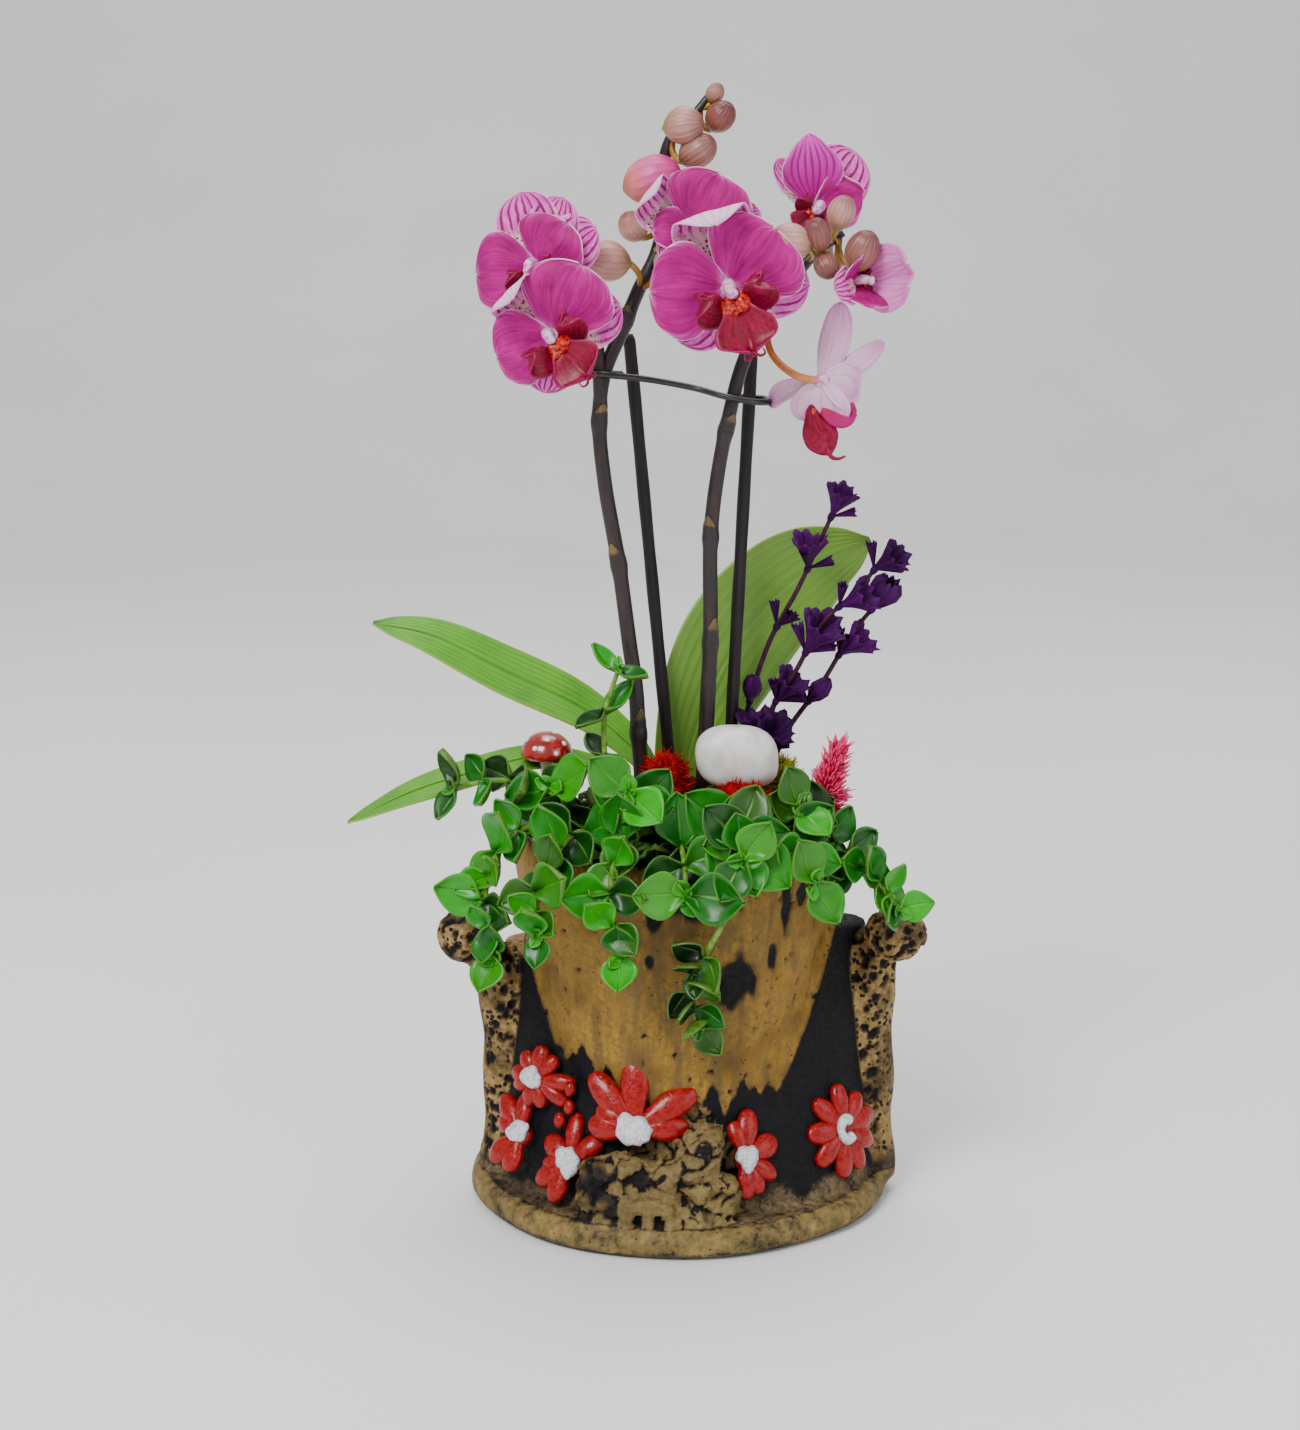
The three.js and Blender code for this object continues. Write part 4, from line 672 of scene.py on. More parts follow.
def makeCastPaint():  # what planterShares gives, with edges that the noises fray
    paint = Paint("castPaint", gloss=0.2)
    ochreShare, tanShare = paint.along()
    ledgeShare, groundShare = paint.mark("tone"), paint.mark("back")
    blotch = paint.noise(16, 4)
    fine = paint.noise(1.6, 4, rough=0.65)
    streak = paint.noise(3, 3, at=paint.spot((1, 1, 0.2)))
    uneven = fine * 0.5 + paint.noise(4, 3) * 0.5
    onArm = paint.node("ShaderNodeSeparateXYZ", None, {0: paint.spot()}).size().step(36, 42)
    # the layers of paint, each mottled by the noises
    darkOchre = paint.ramp(streak * 0.35 + blotch * 0.65, (0.3, "5E4A2C"), (0.5, "866A40"), (0.7, "9E8458"))
    ochre = paint.blend(blotch.step(0.35, 0.65), darkOchre, paint.ramp(fine, (0.3, "745A36"), (0.7, "A88A54")))
    # grey streaks where the ochre share falls: in pits and hollows, and where side lowers it as painted shade
    ochre = paint.blend(ochreShare.step(0.97, 0.76, 0, 0.55) * streak.step(0.35, 0.62), ochre, "443C32")
    rockTan = paint.ramp(fine * 0.6 + blotch * 0.4, (0.3, "4A4030"), (0.5, "766749"), (0.7, "978664"))
    armTan = paint.ramp(fine * 0.6 + blotch * 0.4, (0.3, "6B5636"), (0.5, "9A825E"), (0.7, "C0A880"))
    tan = paint.blend(onArm, rockTan, armTan)
    tan = paint.blend((tanShare + (uneven - 0.5) * 0.5).step(0.35, 0.75), "4A3C28", tan)
    night = paint.ramp(fine * 0.5 + blotch * 0.5, (0.3, "060609"), (0.6, "0E0D11"), (0.8, "24201D"))
    ground = paint.ramp(fine * 0.6 + blotch * 0.5, (0.35, "2A241F"), (0.55, "5D5140"), (0.75, "8A7858"))
    ledge = paint.ramp(uneven * 0.7 + blotch * 0.3,
                       (0.38, "352E24"), (0.47, "6A5C42"), (0.58, "8A7852"), (0.7, "A8966E"))
    # laid one over another: night all over, then ground, ochre, tan, dark dots on the arms, the ledge, specks
    cast = paint.blend((groundShare * uneven.step(0.2, 0.6) * 1.2).step(0.2, 0.9), night, ground)
    cast = paint.blend((ochreShare + (uneven - 0.5) * 0.8 * (1 - ochreShare)).step(0.2, 0.74), cast, ochre)
    cast = paint.blend((tanShare + (uneven - 0.5) * 0.6 * (1 - tanShare)).step(0.18, 0.42), cast, tan)
    dots = onArm * tanShare.step(0.3, 0.5) * paint.cells(1.9).step(0.44, 0.3)
    cast = paint.blend(dots * paint.noise(7, 2).step(0.38, 0.48), cast, "14100C")
    cast = paint.blend((ledgeShare + (uneven - 0.5) * 0.9).step(0.3, 0.75), cast, ledge)
    specks = paint.cells(2.1)
    speckShare = specks.step(0.16, 0.1) * paint.noise(9, 2).step(0.45, 0.58) * tanShare.step(0.5, 0.3)
    cast = paint.blend(speckShare, cast, "15120F")
    paint.finish(cast, fine.step(0.3, 0.7, 0.5, 0.78), fine * 0.7 + streak * 0.5 - specks.step(0.3, 0.05) * 0.5,
                 0.35)
    return paint


castPaint = makeCastPaint()
put("planterBody", planterPiece(), [castPaint], "cast", ["planter"])
print("planter made")


# relief flowers: puffy petals bent back with the trunk, rough silver centres

# petals: turn from the right, length and width; stray: short petals that lie loose beside the flower; ring:
# the centre is a bent ring between these two turns
reliefFlowers = [
    dict(at=(-41.4, -23.9, 42.6), out=(-0.55, -0.8, 0.2), centre=3.8,
         stray=[(-32.5, -32.4, 42), (-32.7, -33.4, 36.8), (-35.6, -33.2, 32.6)],
         petals=[(85, 9.5, 5), (50, 9, 4.6), (2, 12.5, 4.6), (-28, 12, 4.2), (-70, 8.5, 4.4),
                 (-105, 8.5, 4.6), (178, 8.8, 5), (205, 8, 4.6), (130, 8.5, 4.8)]),
    dict(at=(-46.3, -25.5, 25), out=(-0.5, -0.75, 0.45), centre=4,
         petals=[(135, 14, 5.6), (98, 12, 5), (228, 12, 6.2), (264, 11, 6), (160, 9, 5)]),
    dict(at=(-31.5, -36.8, 20.5), out=(-0.4, -0.8, 0.45), centre=4.2,
         petals=[(93, 14.5, 4.8), (46, 11.5, 5.6), (146, 10.5, 6), (217, 11.5, 5.8), (254, 12, 5.6),
                 (190, 8, 5)]),
    dict(at=(-13, -41.5, 33), out=(-0.12, -0.95, 0.3), centre=5.4,
         petals=[(131, 20, 7), (92, 21, 7.4), (35, 20, 7.6), (4, 15, 6.4), (176, 13, 7.4), (152, 12, 7)]),
    dict(at=(18.3, -41.2, 24.2), out=(0.3, -0.88, 0.36), centre=4,
         petals=[(78, 13.5, 5.6), (103, 10.5, 5), (20, 10.5, 6.4), (-38, 10.5, 5), (-72, 11, 4.6),
                 (-95, 11.5, 5.4)]),
    dict(at=(47.5, -25, 27), out=(0.55, -0.78, 0.25), centre=4.2, ring=(0.9, 5.4),
         petals=[(88, 13, 5.2), (48, 12, 5.4), (12, 12.5, 6.2), (-30, 12, 5.6), (-68, 13.5, 5.4),
                 (-98, 14, 5.6), (-138, 13, 5.6), (178, 11.5, 6), (130, 12.5, 5.4)]),
]
petalSwell = swell((0, 0.5), (0.25, 0.72), (0.6, 1), (0.85, 0.82), (0.96, 0.46), (1, 0.06))


def makeRedPaint():  # mottled red with dirt in wide patches
    paint = Paint("redPaint", gloss=0.25, coat=0.3, coatRough=0.12)
    fine = paint.noise(1.2, 3)
    dirt = paint.noise(6, 4).step(0.6, 0.78, 0, 0.6)
    colour = paint.ramp(fine, (0.3, "720100"), (0.55, "980201"), (0.8, "AC0402"))
    paint.finish(paint.blend(dirt, colour, "3C0403"), fine.step(0.3, 0.7, 0.22, 0.42),
                 fine * 0.7 + paint.noise(3.5, 2), 0.35)
    return paint


redPaint = makeRedPaint()


def makeSilverPaint():  # silver, rough at two sizes
    paint = Paint("silverPaint", gloss=0.6, metal=0.25)
    fine = paint.noise(0.8, 3)
    paint.finish(paint.ramp(fine, (0.3, "B9BCC4"), (0.5, "E2E4E9"), (0.75, "F6F6F8")),
                 fine.step(0.3, 0.7, 0.3, 0.6), fine + paint.noise(2, 2) * 0.8, 0.6)
    return paint


silverPaint = makeSilverPaint()


def reliefFrame(flower):
    # directions on the slope of the trunk, and places on it that bend back to the sides
    out = unit(flower["out"])
    right = unit(np.cross((0, 0, 1), out))
    up = np.cross(out, right)
    at = np.array(flower["at"])
    return out, right, up, lambda x, y, lift: at + right * x + up * y + out * (lift + 1.1 - 0.009 * x * x)


def reliefPetals(k, flower):
    # tubes out from the centre, flattened where they are wide, round a low dome
    out, right, up, spotOn = reliefFrame(flower)
    along = np.sin(np.linspace(0, np.pi / 2, 30))
    petals = []
    for i, (angle, length, width) in enumerate(flower["petals"]):
        c, s = np.cos(np.radians(angle)), np.sin(np.radians(angle))
        steps = ((0.5, 1.1), (length * 0.35, 1.3), (length * 0.72, 1.2), (length * 1.04, 0.1))
        line = [spotOn(c * d, s * d, lift) for d, lift in steps]
        half = lambda t: 0.58 * width * petalSwell(t)
        flat = lambda t: np.clip(2.2 / (half(t) + 0.4), 0.3, 1.0)
        petals.append(tubeOf(line, half, 20, 30, vary(k * 9 + i), 0, flat, right * -s + up * c, along))
    dome = (flower["centre"] * 0.9, flower["centre"] * 0.9, 2.6)
    petals.append(lumpOf(spotOn(0, 0, 0.6), dome, out, 24, 14, 0.08, 3, k))
    petals += [lumpOf(at, (2.3, 1.7, 1.5), (-0.4, -0.9, 0.2), 20, 14, 0.1, 2, i, vary(i))
               for i, at in enumerate(flower.get("stray", []))]
    return petals


def reliefCentre(k, flower):  # a crumpled nugget, or a tube along a bent ring
    out, _, _, spotOn = reliefFrame(flower)
    if "ring" in flower:
        bend = [spotOn(2.4 * np.cos(a), 3.0 * np.sin(a), 3.4) for a in np.linspace(*flower["ring"], 7)]
        centre = tubeOf(bend, lambda t: 1.45 + 0.25 * np.sin(t * 9), 20, 40)
        centre.points += (0.35 * noise3(centre.points, 1.6, 5))[:, None] * out
        return centre
    half = flower["centre"]
    radii = (half * 0.86, half * (1.0 - 0.12 * (k % 2)), 1.9)
    return lumpOf(np.array(flower["at"]) + out * 4.4, radii, out, 44, 30, 0.27, 2.9, 30 + k)


for k, flower in enumerate(reliefFlowers):
    put(f"reliefPetals{k + 1}", reliefPetals(k, flower), [redPaint], "red_paint", [f"relief_flower_{k + 1}"])
    put(f"reliefCentre{k + 1}", reliefCentre(k, flower), [silverPaint], "silver_paint",
        [f"flower_centre_{k + 1}"])
print("relief flowers made")


# orchid spikes with sheaths, pedicels and buds

spikeSet = {
    "left": dict(line=[(-9, -4, 104), (-12, -6, 140), (-13, -6, 157), (-15, -7, 172), (-18, -8, 195),
                       (-22, -9, 219), (-23.5, -9, 237), (-22, -8.5, 250), (-17, -7, 262), (-12, -5.5, 274),
                       (-7, -5, 284), (-4.5, -3.5, 296), (-5, -2.5, 308), (-2.5, -3.5, 317), (3, -4, 322),
                       (8, -4, 328)],
                 fork=[(-23, -9, 240), (-23.6, -10, 254), (-24, -10, 264), (-26, -9, 274), (-29, -9, 280)],
                 nodes=(0.17, 0.39, 0.57, 0.7), seed=0),
    "right": dict(line=[(6, -1, 104), (8, -4, 146), (9, -6, 172), (9, -8, 204), (11, -9, 222), (14, -10, 238),
                        (17.5, -10, 252), (21.5, -10, 261), (27, -10, 269), (32, -11, 277), (38, -12, 284),
                        (46, -12, 290)],
                  nodes=(0.34, 0.5, 0.66), seed=20),
}
# buds: centre, half length and half width, axis, where the stalk leaves the spike, and tone, 0 pale to 1 dark;
# a tone of -1 asks for the pink paint
budSet = {
    "left": [((9.5, -4, 328.5), (3.4, 2.6), (0.5, 0, 0.9), (7, -4, 327), 0.6),
             ((11, -6.5, 322), (5, 4.2), (0.6, -0.3, 0.7), (5.5, -4, 325), 0.95),
             ((0.5, -10, 319.5), (6, 5.4), (0.9, -0.3, 0.1), (1, -4, 320), 0.35),
             ((4.5, -9, 312.5), (6, 4.8), (0.8, -0.3, 0.5), (-2, -3.5, 318), 0.6),
             ((-8.5, -11, 304.5), (8.8, 7), (0.9, -0.3, 0.3), (-5, -3, 303), -1),
             ((-13.5, -9, 291.5), (5, 4.2), (-0.5, -0.5, 0.6), (-5, -4, 294), 0.1),
             ((-20.5, -15, 282), (6.8, 5.8), (-0.9, -0.3, 0.1), (-12, -5.5, 274), 0.15),
             ((-2.5, -11, 292.5), (3.4, 2.9), (0.3, -0.6, 0.6), (-6, -4, 288), 0.5),
             ((-4, -12, 281.5), (4.6, 3.8), (0.3, -0.5, -0.6), (-7.5, -5, 283), 0.3)],
    "right": [((30.5, -26, 287), (6.4, 5.4), (-0.8, -0.5, 0.2), (36, -12, 282), 0.1),
              ((38, -25, 289), (5.2, 3.8), (-0.2, -0.4, 0.8), (38, -12, 284), 0.85),
              ((44.5, -22, 295), (5.2, 4), (0.3, -0.3, 0.9), (43, -12, 288), 0.3),
              ((50.5, -22, 284.5), (6.4, 4.8), (0.4, -0.4, 0.9), (44, -12, 289), 0.75),
              ((40.5, -23, 281), (4.6, 3.6), (0.2, -0.5, -0.5), (40, -12, 285.5), 0.8)],
}
# face is the way a bloom looks, and roll turns it about that; close leans its parts forwards; hood bends its
# top sepal over; each sepal and petal has its turn from the top, then length and width against the usual ones
blooms = {
    "upper_left": dict(at=(-40, -23, 280), face=(-0.35, -1, 0.02), roll=20, size=1.02, close=0.1, hood=0,
                       lip=0.8, sepals=[(4, 1.05, 1.15), (40, 1.0, 0.95), (76, 0.98, 1.0)],
                       petals=[(-76, 0.86, 0.9), (56, 0.72, 0.85)]),
    "lower_left": dict(at=(-35.5, -38, 262), face=(-0.12, -1, -0.05), roll=47, size=1, close=0.08, hood=1,
                       lip=1.05, sepals=[(3, 0.86, 1.0), (113, 1.0, 1.05), (-123, 0.8, 0.9)],
                       petals=[(-62, 0.8, 0.86), (71, 1.0, 1.08)]),
    "middle": dict(at=(13, -30, 274.5), face=(0.05, -1, -0.05), roll=20, size=1.12, close=0.06, hood=1,
                   lip=1.08, sepals=[(4, 1.0, 1.25), (107, 1.0, 1.0), (-118, 0.88, 1.0)],
                   petals=[(-72, 0.94, 0.98), (58, 0.88, 1.12)]),
    "back": dict(at=(3.5, -20, 289.5), face=(0.05, -0.9, 0.3), roll=8, size=0.86, close=0.22, hood=1, lip=0.7,
                 sepals=[(-44, 1.0, 1.1), (81, 1.15, 0.85), (-122, 0.7, 0.8)],
                 petals=[(-80, 0.66, 0.6), (34, 1.0, 1.2)]),
    "upper_right": dict(at=(38.5, 1, 296.5), face=(0.12, -1, 0.04), roll=-45, size=1.02, close=0.08, hood=0,
                        lip=0.6, pointed=True, sepals=[(-8, 1.0, 1.2), (-82, 0.86, 0.5), (122, 0.6, 0.8)],
                        petals=[(-51, 1.0, 0.74), (27, 0.7, 0.66)]),
    "right_cup": dict(at=(49.5, -17, 276), face=(0.4, -0.8, 0.12), roll=70, size=0.88, close=0.85, hood=0,
                      lip=0.45),
    "hanging": dict(at=(40.5, -18, 248), face=(0.22, 0.93, -0.34), roll=-6, size=1.12, close=0.58, hood=0,
                    lip=1.0),
}


def bloomBasis(bloom):  # directions towards its face, to its right and to its top
    face = unit(bloom["face"])
    right = -unit(np.cross(face, (0, 0, 1)))
    up = np.cross(face, right)
    a = np.radians(bloom["roll"])
    return face, right * np.cos(a) + up * np.sin(a), up * np.cos(a) - right * np.sin(a)


def hubBack(name, distance):  # place behind a bloom, where its stalk ends
    bloom = blooms[name]
    return tuple(np.array(bloom["at"]) - bloomBasis(bloom)[0] * distance)


pedicelSet = {
    "left": [[(-29, -9, 280), (-33, -12, 283), hubBack("upper_left", 1.5)],
             [(-25, -10, 268), (-30, -16, 270), hubBack("lower_left", 1.5)],
             [(-12, -5.5, 274), (0, -14, 279), hubBack("middle", 1.5)],
             [(-6, -3.5, 289), (-2, -4, 299), hubBack("back", 1.5)]],
    "right": [[(42, -12, 287), (43, -2, 284), (41, 6, 289), hubBack("upper_right", 1.5)],
              [(45, -12, 289), (45, -10, 281), hubBack("right_cup", 1)],
              [(24, -10, 265), (26, -14, 256), (33, -22, 250), hubBack("hanging", 1.5)]],
}


def makeStemPaint():  # streaks along the stem, paler where its tone is high
    paint = Paint("stemPaint", gloss=0.45, coat=0.15, coatRough=0.3)
    tone = paint.mark("tone")
    fine = paint.noise(2.2, 4, at=paint.spot((1, 1, 0.25)))
    dark = paint.ramp(fine, (0.3, "0F090B"), (0.55, "24171A"), (0.75, "3E2926"))
    pale = paint.ramp(fine, (0.35, "463824"), (0.6, "6A5838"), (0.8, "8A7658"))
    colour = paint.blend((tone + fine * 0.4 - 0.2).step(0.55, 0.8), dark, pale)
    paint.finish(colour, fine.step(0.3, 0.7, 0.35, 0.55), fine, 0.2)
    return paint


stemPaint = makeStemPaint()


def makeBudPaint():  # pale to dark by tone, veins as a sine round the bud
    paint = Paint("budPaint", gloss=0.5, soft=0.08, coat=0.2, coatRough=0.25)
    along, turn = paint.along()
    tone = paint.mark("tone")
    vein = (turn * 58 + paint.noise(3, 2) * 5).sine()
    pale = paint.ramp(along, (0.05, "8E7F45"), (0.3, "C4A08E"), (0.7, "D8B2A8"), (1, "A87670"))
    dark = paint.ramp(along, (0.05, "5A4522"), (0.3, "7E5046"), (0.7, "6A3836"), (1, "4A2224"))
    colour = paint.blend(tone * 0.9 + 0.1, pale, dark)
    colour = paint.blend(vein.step(0.3, 1.0, 0, 0.24), colour, "7A3238")
    paint.finish(colour, vein.step(-1, 1, 0.36, 0.46), vein * 0.5 + paint.noise(1.5, 2) * 0.3, 0.12)
    return paint


budPaint = makeBudPaint()


def makePinkBudPaint():  # changes from base to tip, veins as a sine round the bud
    paint = Paint("pinkBudPaint", gloss=0.45, soft=0.1)
    along, turn = paint.along()
    vein = (turn * 46 + paint.noise(3, 2) * 4).sine()
    colour = paint.ramp(along, (0.05, "A06A40"), (0.3, "D98A84"), (0.6, "CF6F9C"), (1, "C9558F"))
    paint.finish(paint.blend(vein.step(0.2, 1, 0, 0.35), colour, "B9407F"), 0.42, vein * 0.5, 0.12)
    return paint


pinkBudPaint = makePinkBudPaint()


def makeStalkPaint():  # green to pink by tone, changing along its length
    paint = Paint("stalkPaint", gloss=0.45, coat=0.1)
    along, _ = paint.along()
    fine = paint.noise(1.6, 3)
    place = along + (fine - 0.5) * 0.5
    green = paint.ramp(place, (0.0, "4A3A22"), (0.4, "8C7A30"), (0.9, "B7A24E"))
    pink = paint.ramp(place, (0.0, "6E4420"), (0.4, "A9652F"), (0.8, "C98C62"), (1.0, "D98FA5"))
    paint.finish(paint.blend(paint.mark("tone"), green, pink), 0.42, fine, 0.1)
    return paint


stalkPaint = makeStalkPaint()


def budShapes(bud, k):
    # a stalk, and an egg that is fullest past its middle, with three soft seams where its sepals meet
    at, (length, width), axis, start, tone = bud
    at, axis, start = np.array(at), unit(axis), np.array(start)
    foot = at - axis * length * 0.9
    bend = foot + (start - foot) * 0.45 - axis * 1.8
    stalkLine = [start, bend, foot, at - axis * length * 0.6]
    stalk = tubeOf(stalkLine, lambda t: 0.8 + 0.25 * t, 10, 22, 0.2 + 0.3 * vary(k), 1)
    t = np.linspace(0, 1, 30)
    full = (1 - np.abs(t * 2 - 1.1) ** 2.5 / 1.3) ** 0.55 * np.sin(np.pi * np.clip(t, 0.004, 0.996)) ** 0.22
    seams = lambda a, h: 1 - 0.07 * np.exp(-(((a * 3 / (2 * np.pi) + vary(k)) % 1 - 0.5) / 0.07) ** 2)
    profile = np.stack([width * full, (t * 2 - 1) * length], 1)
    return [stalk, turned(profile, 36, at, axis, seams, max(tone, 0), 3 if tone < 0 else 2)]


def sheath(line, t, size, k):
    # pointed bract wrapped half round the stem at a node: an angle across it that narrows towards its tip
    here = lineAt(line, np.clip([t - 0.004, t, t + 0.028 * size], 0, 1))
    way = unit(here[2] - here[0])
    front = np.array([0.5 * (-1) ** k, -1, 0.0])
    out = unit(front - way * (front @ way))
    side = np.cross(way, out)
    u, v = np.linspace(0, 1, 12), np.linspace(-1, 1, 13)
    uu, vv = np.meshgrid(u, v, indexing="ij")
    a = vv * 1.7 * (1 - uu ** 1.3 * 0.94)
    r = 2.3 + 0.35 * uu ** 2
    wrapped = out * (np.cos(a) * r)[..., None] + side * (np.sin(a) * r)[..., None]
    mid = here[1] + way * (uu * 9 * size)[..., None] + wrapped
    return shellOf(mid, 0.5, np.tile(0.3 + 0.6 * smooth(0.25, 0.8, uu).ravel(), 2), 0, u, v)


def spikeShapes(name, spike, sides=18, steps=150):
    # tapering stem, thicker and paler at its nodes, with its sheaths, fork, buds and bloom stalks
    nodes = np.array(spike["nodes"])
    t = np.linspace(0, 1, steps)
    nearNode = lambda past, wide: np.exp(-((t[:, None] - nodes - past) / wide) ** 2).sum(1)
    thick = lambda s: 2.45 - 0.55 * s - 0.7 * smooth(0.88, 1, s) + 0.45 * np.interp(s, t, nearNode(0, 0.011))
    stem = tubeOf(spike["line"], thick, sides, steps)
    stem.tone = np.concatenate([np.repeat(0.12 + 0.35 * nearNode(0.004, 0.006), sides), [0.1, 0.1]])
    shapes = [stem, *[sheath(spike["line"], node, 0.9 - 0.15 * i, i) for i, node in enumerate(nodes)]]
    if "fork" in spike:
        shapes.append(tubeOf(spike["fork"], lambda s: 2.1 - 0.8 * s, 14, 50, 0.15))
    for k, bud in enumerate(budSet[name]):
        shapes += budShapes(bud, k + spike["seed"])
    for k, line in enumerate(pedicelSet[name]):
        shapes.append(tubeOf(line, lambda s: 0.95 + 0.25 * s, 12, 36, 1.0 if k == 2 else 0.7, 1))
    return shapes


for name, spike in spikeSet.items():
    paints = [stemPaint, stalkPaint, budPaint, pinkBudPaint]
    put(pieceName("spike", name), spikeShapes(name, spike), paints, "spike", [f"spike_{name}"])
print("spikes made")


# blooms: sepals behind, broad petals, column, and the lip

sepalWidth = swell((0, 0.3), (0.2, 0.7), (0.5, 1), (0.78, 0.86), (0.93, 0.52), (1, 0.06))
petalWidth = swell((0, 0.22), (0.16, 0.58), (0.45, 0.98), (0.62, 1), (0.85, 0.74), (0.96, 0.38), (1, 0.08))
pointWidth = swell((0, 0.22), (0.18, 0.56), (0.42, 0.96), (0.58, 0.94), (0.8, 0.56), (0.93, 0.26), (1, 0.05))
slimWidth = swell((0, 0.35), (0.3, 0.8), (0.6, 1), (0.88, 0.7), (1, 0.08))


def makePetalPaint():  # rays that fan out from the base, pale at the rim and on the back
    paint = Paint("petalPaint", gloss=0.18, soft=0.05, reach=0.003)
    along, across = paint.along()
    back = paint.mark("back")
    tone = paint.mark("tone")
    edge = (across * 2 - 1).size().most(along.step(0.62, 1.0) * 0.98)
    fan = (across - 0.5) * 26 / (along * 0.6 + 0.5)
    ray = paint.noise(1, 3, at=paint.at(along * 2.5, fan, tone * 40))
    cloud = paint.noise(1, 2, at=paint.at(along * 3, across * 3, tone * 60))
    colour = paint.ramp(ray * 0.55 + cloud * 0.45,
                        (0.32, "82005E"), (0.5, "A4007A"), (0.66, "BC0490"), (0.88, "D840AC"))
    vein = ((across - 0.5) * 46 / (along * 0.5 + 0.6) + ray * 4).sine().step(0.1, 0.9, 0, 0.75)
    veinGround = paint.ramp(along, (0.3, "B41090"), (0.9, "D868BE"))
    veinColour = paint.blend(vein * along.step(1.0, 0.75), veinGround, "7E0C6A")
    colour = paint.blend(tone.step(0.99, 1.01), colour, veinColour)  # a tone past 1 asks for dark veins
    colour = paint.blend((edge + (ray - 0.5) * 0.5).step(0.82, 1.1, 0, 0.55), colour, "E68CCB")
    colour = paint.blend((edge + (ray - 0.5) * 0.1).step(0.965, 1.0, 0, 0.8), colour, "F4D0EA")
    colour = paint.blend(along.step(0.16, 0.0, 0, 0.75) * ray.step(0.3, 0.6), colour, "E9A8D8")
    backTone = paint.blend(ray.step(0.45, 0.8, 0, 0.6), "F4DCEE", "D98ACB")
    colour = paint.blend(back, colour, backTone)
    paint.finish(colour, ray.step(0.3, 0.7, 0.5, 0.62), ray, 0.18)
    return paint


petalPaint = makePetalPaint()


def makeSepalPaint():  # stripes as a sine across, broken by noise, and spots at the base
    paint = Paint("sepalPaint", gloss=0.18, soft=0.05, reach=0.003)
    along, across = paint.along()
    back = paint.mark("back")
    tone = paint.mark("tone")
    wobble = paint.noise(1, 2, at=paint.at(along * 5, across * 4, tone * 50))
    stripe = ((across - 0.5) * 44 / (along * 0.35 + 0.75) + wobble * 5).sine()
    broken = paint.noise(1, 3, at=paint.at(along * 9, across * 14, tone * 30))
    edge = (across * 2 - 1).size().most(along.step(0.7, 1.0) * 0.98)
    ground = paint.ramp(broken * 0.6 + wobble * 0.4, (0.3, "D658B8"), (0.5, "E484C8"), (0.75, "F0ACDC"))
    line = stripe.step(0.2, 0.8) * broken.step(0.22, 0.42) * edge.step(0.99, 0.86)
    colour = paint.blend(line, ground, "8E0F6E")
    spot = paint.cells(1, at=paint.at(along * 22, across * 15, tone * 9)).step(0.42, 0.28)
    base = along.step(0.62, 0.4)
    colour = paint.blend(base, colour, paint.blend(spot, "F3D9DC", "A3124F"))
    colour = paint.blend((edge + (wobble - 0.5) * 0.1).step(0.95, 1.0, 0, 0.8), colour, "F4D4EC")
    colour = paint.blend(back, colour, paint.blend(stripe.step(0.4, 1, 0, 0.4), "F2D2E8", "D27CC2"))
    paint.finish(colour, wobble.step(0.3, 0.7, 0.5, 0.6), stripe * 0.5 + wobble * 0.4, 0.15)
    return paint


sepalPaint = makeSepalPaint()


def makePalePaint():  # rays and faint veins on the pale outside, pink inside
    paint = Paint("palePaint", gloss=0.2, soft=0.1, reach=0.003)
    along, across = paint.along()
    ray = paint.noise(1, 3, at=paint.at(along * 2.5, across * 16, paint.mark("tone") * 40))
    vein = ((across - 0.5) * 30 + ray * 4).sine()
    outer = paint.ramp(ray * 0.6 + along * 0.4, (0.25, "F2DCEA"), (0.55, "E6BEDC"), (0.9, "D088C2"))
    outer = paint.blend(vein.step(0.7, 1, 0, 0.3), outer, "C96BB4")
    inner = paint.ramp(ray, (0.3, "D678BC"), (0.6, "E2A2D2"), (0.8, "EEC8E2"))
    paint.finish(paint.blend(paint.mark("back"), inner, outer), 0.52, ray, 0.15)
    return paint


palePaint = makePalePaint()

columnPaint = grainPaint("columnPaint", 1.6, [(0.35, "D878B8"), (0.55, "F2CFE4"), (0.72, "FBEFF2")], 0.35, 0.15,
                         detail=2, gloss=0.5, soft=0.15, coat=0.25, coatRough=0.2)


def makeLipPaint():  # streaks along the lobes, orange at the heart of the middle one
    paint = Paint("lipPaint", gloss=0.22, coat=0.1, coatRough=0.3)
    along, across = paint.along()
    tone = paint.mark("tone")
    fine = paint.noise(1.3, 3)
    streak = paint.noise(1, 2, at=paint.at(along * 3, across * 14, tone * 20))
    colour = paint.ramp(streak * 0.6 + fine * 0.4, (0.3, "540022"), (0.5, "7E0038"), (0.7, "9A064C"))
    edge = (across * 2 - 1).size().most(along.step(0.7, 1))
    colour = paint.blend(edge.step(0.86, 1.0, 0, 0.6), colour, "A4066E")
    colour = paint.blend(tone.step(0.2, 0.27) * tone.step(0.5, 0.4), colour, "A8006E")  # the outer lobe
    heart = along.step(0.34, 0.1) * tone.step(0.2, 0.4)
    colour = paint.blend(heart * streak.step(0.36, 0.52), colour, "D2440C")
    paint.finish(colour, fine.step(0.3, 0.7, 0.3, 0.48), fine * 0.6 + streak * 0.6, 0.2)
    return paint


lipPaint = makeLipPaint()


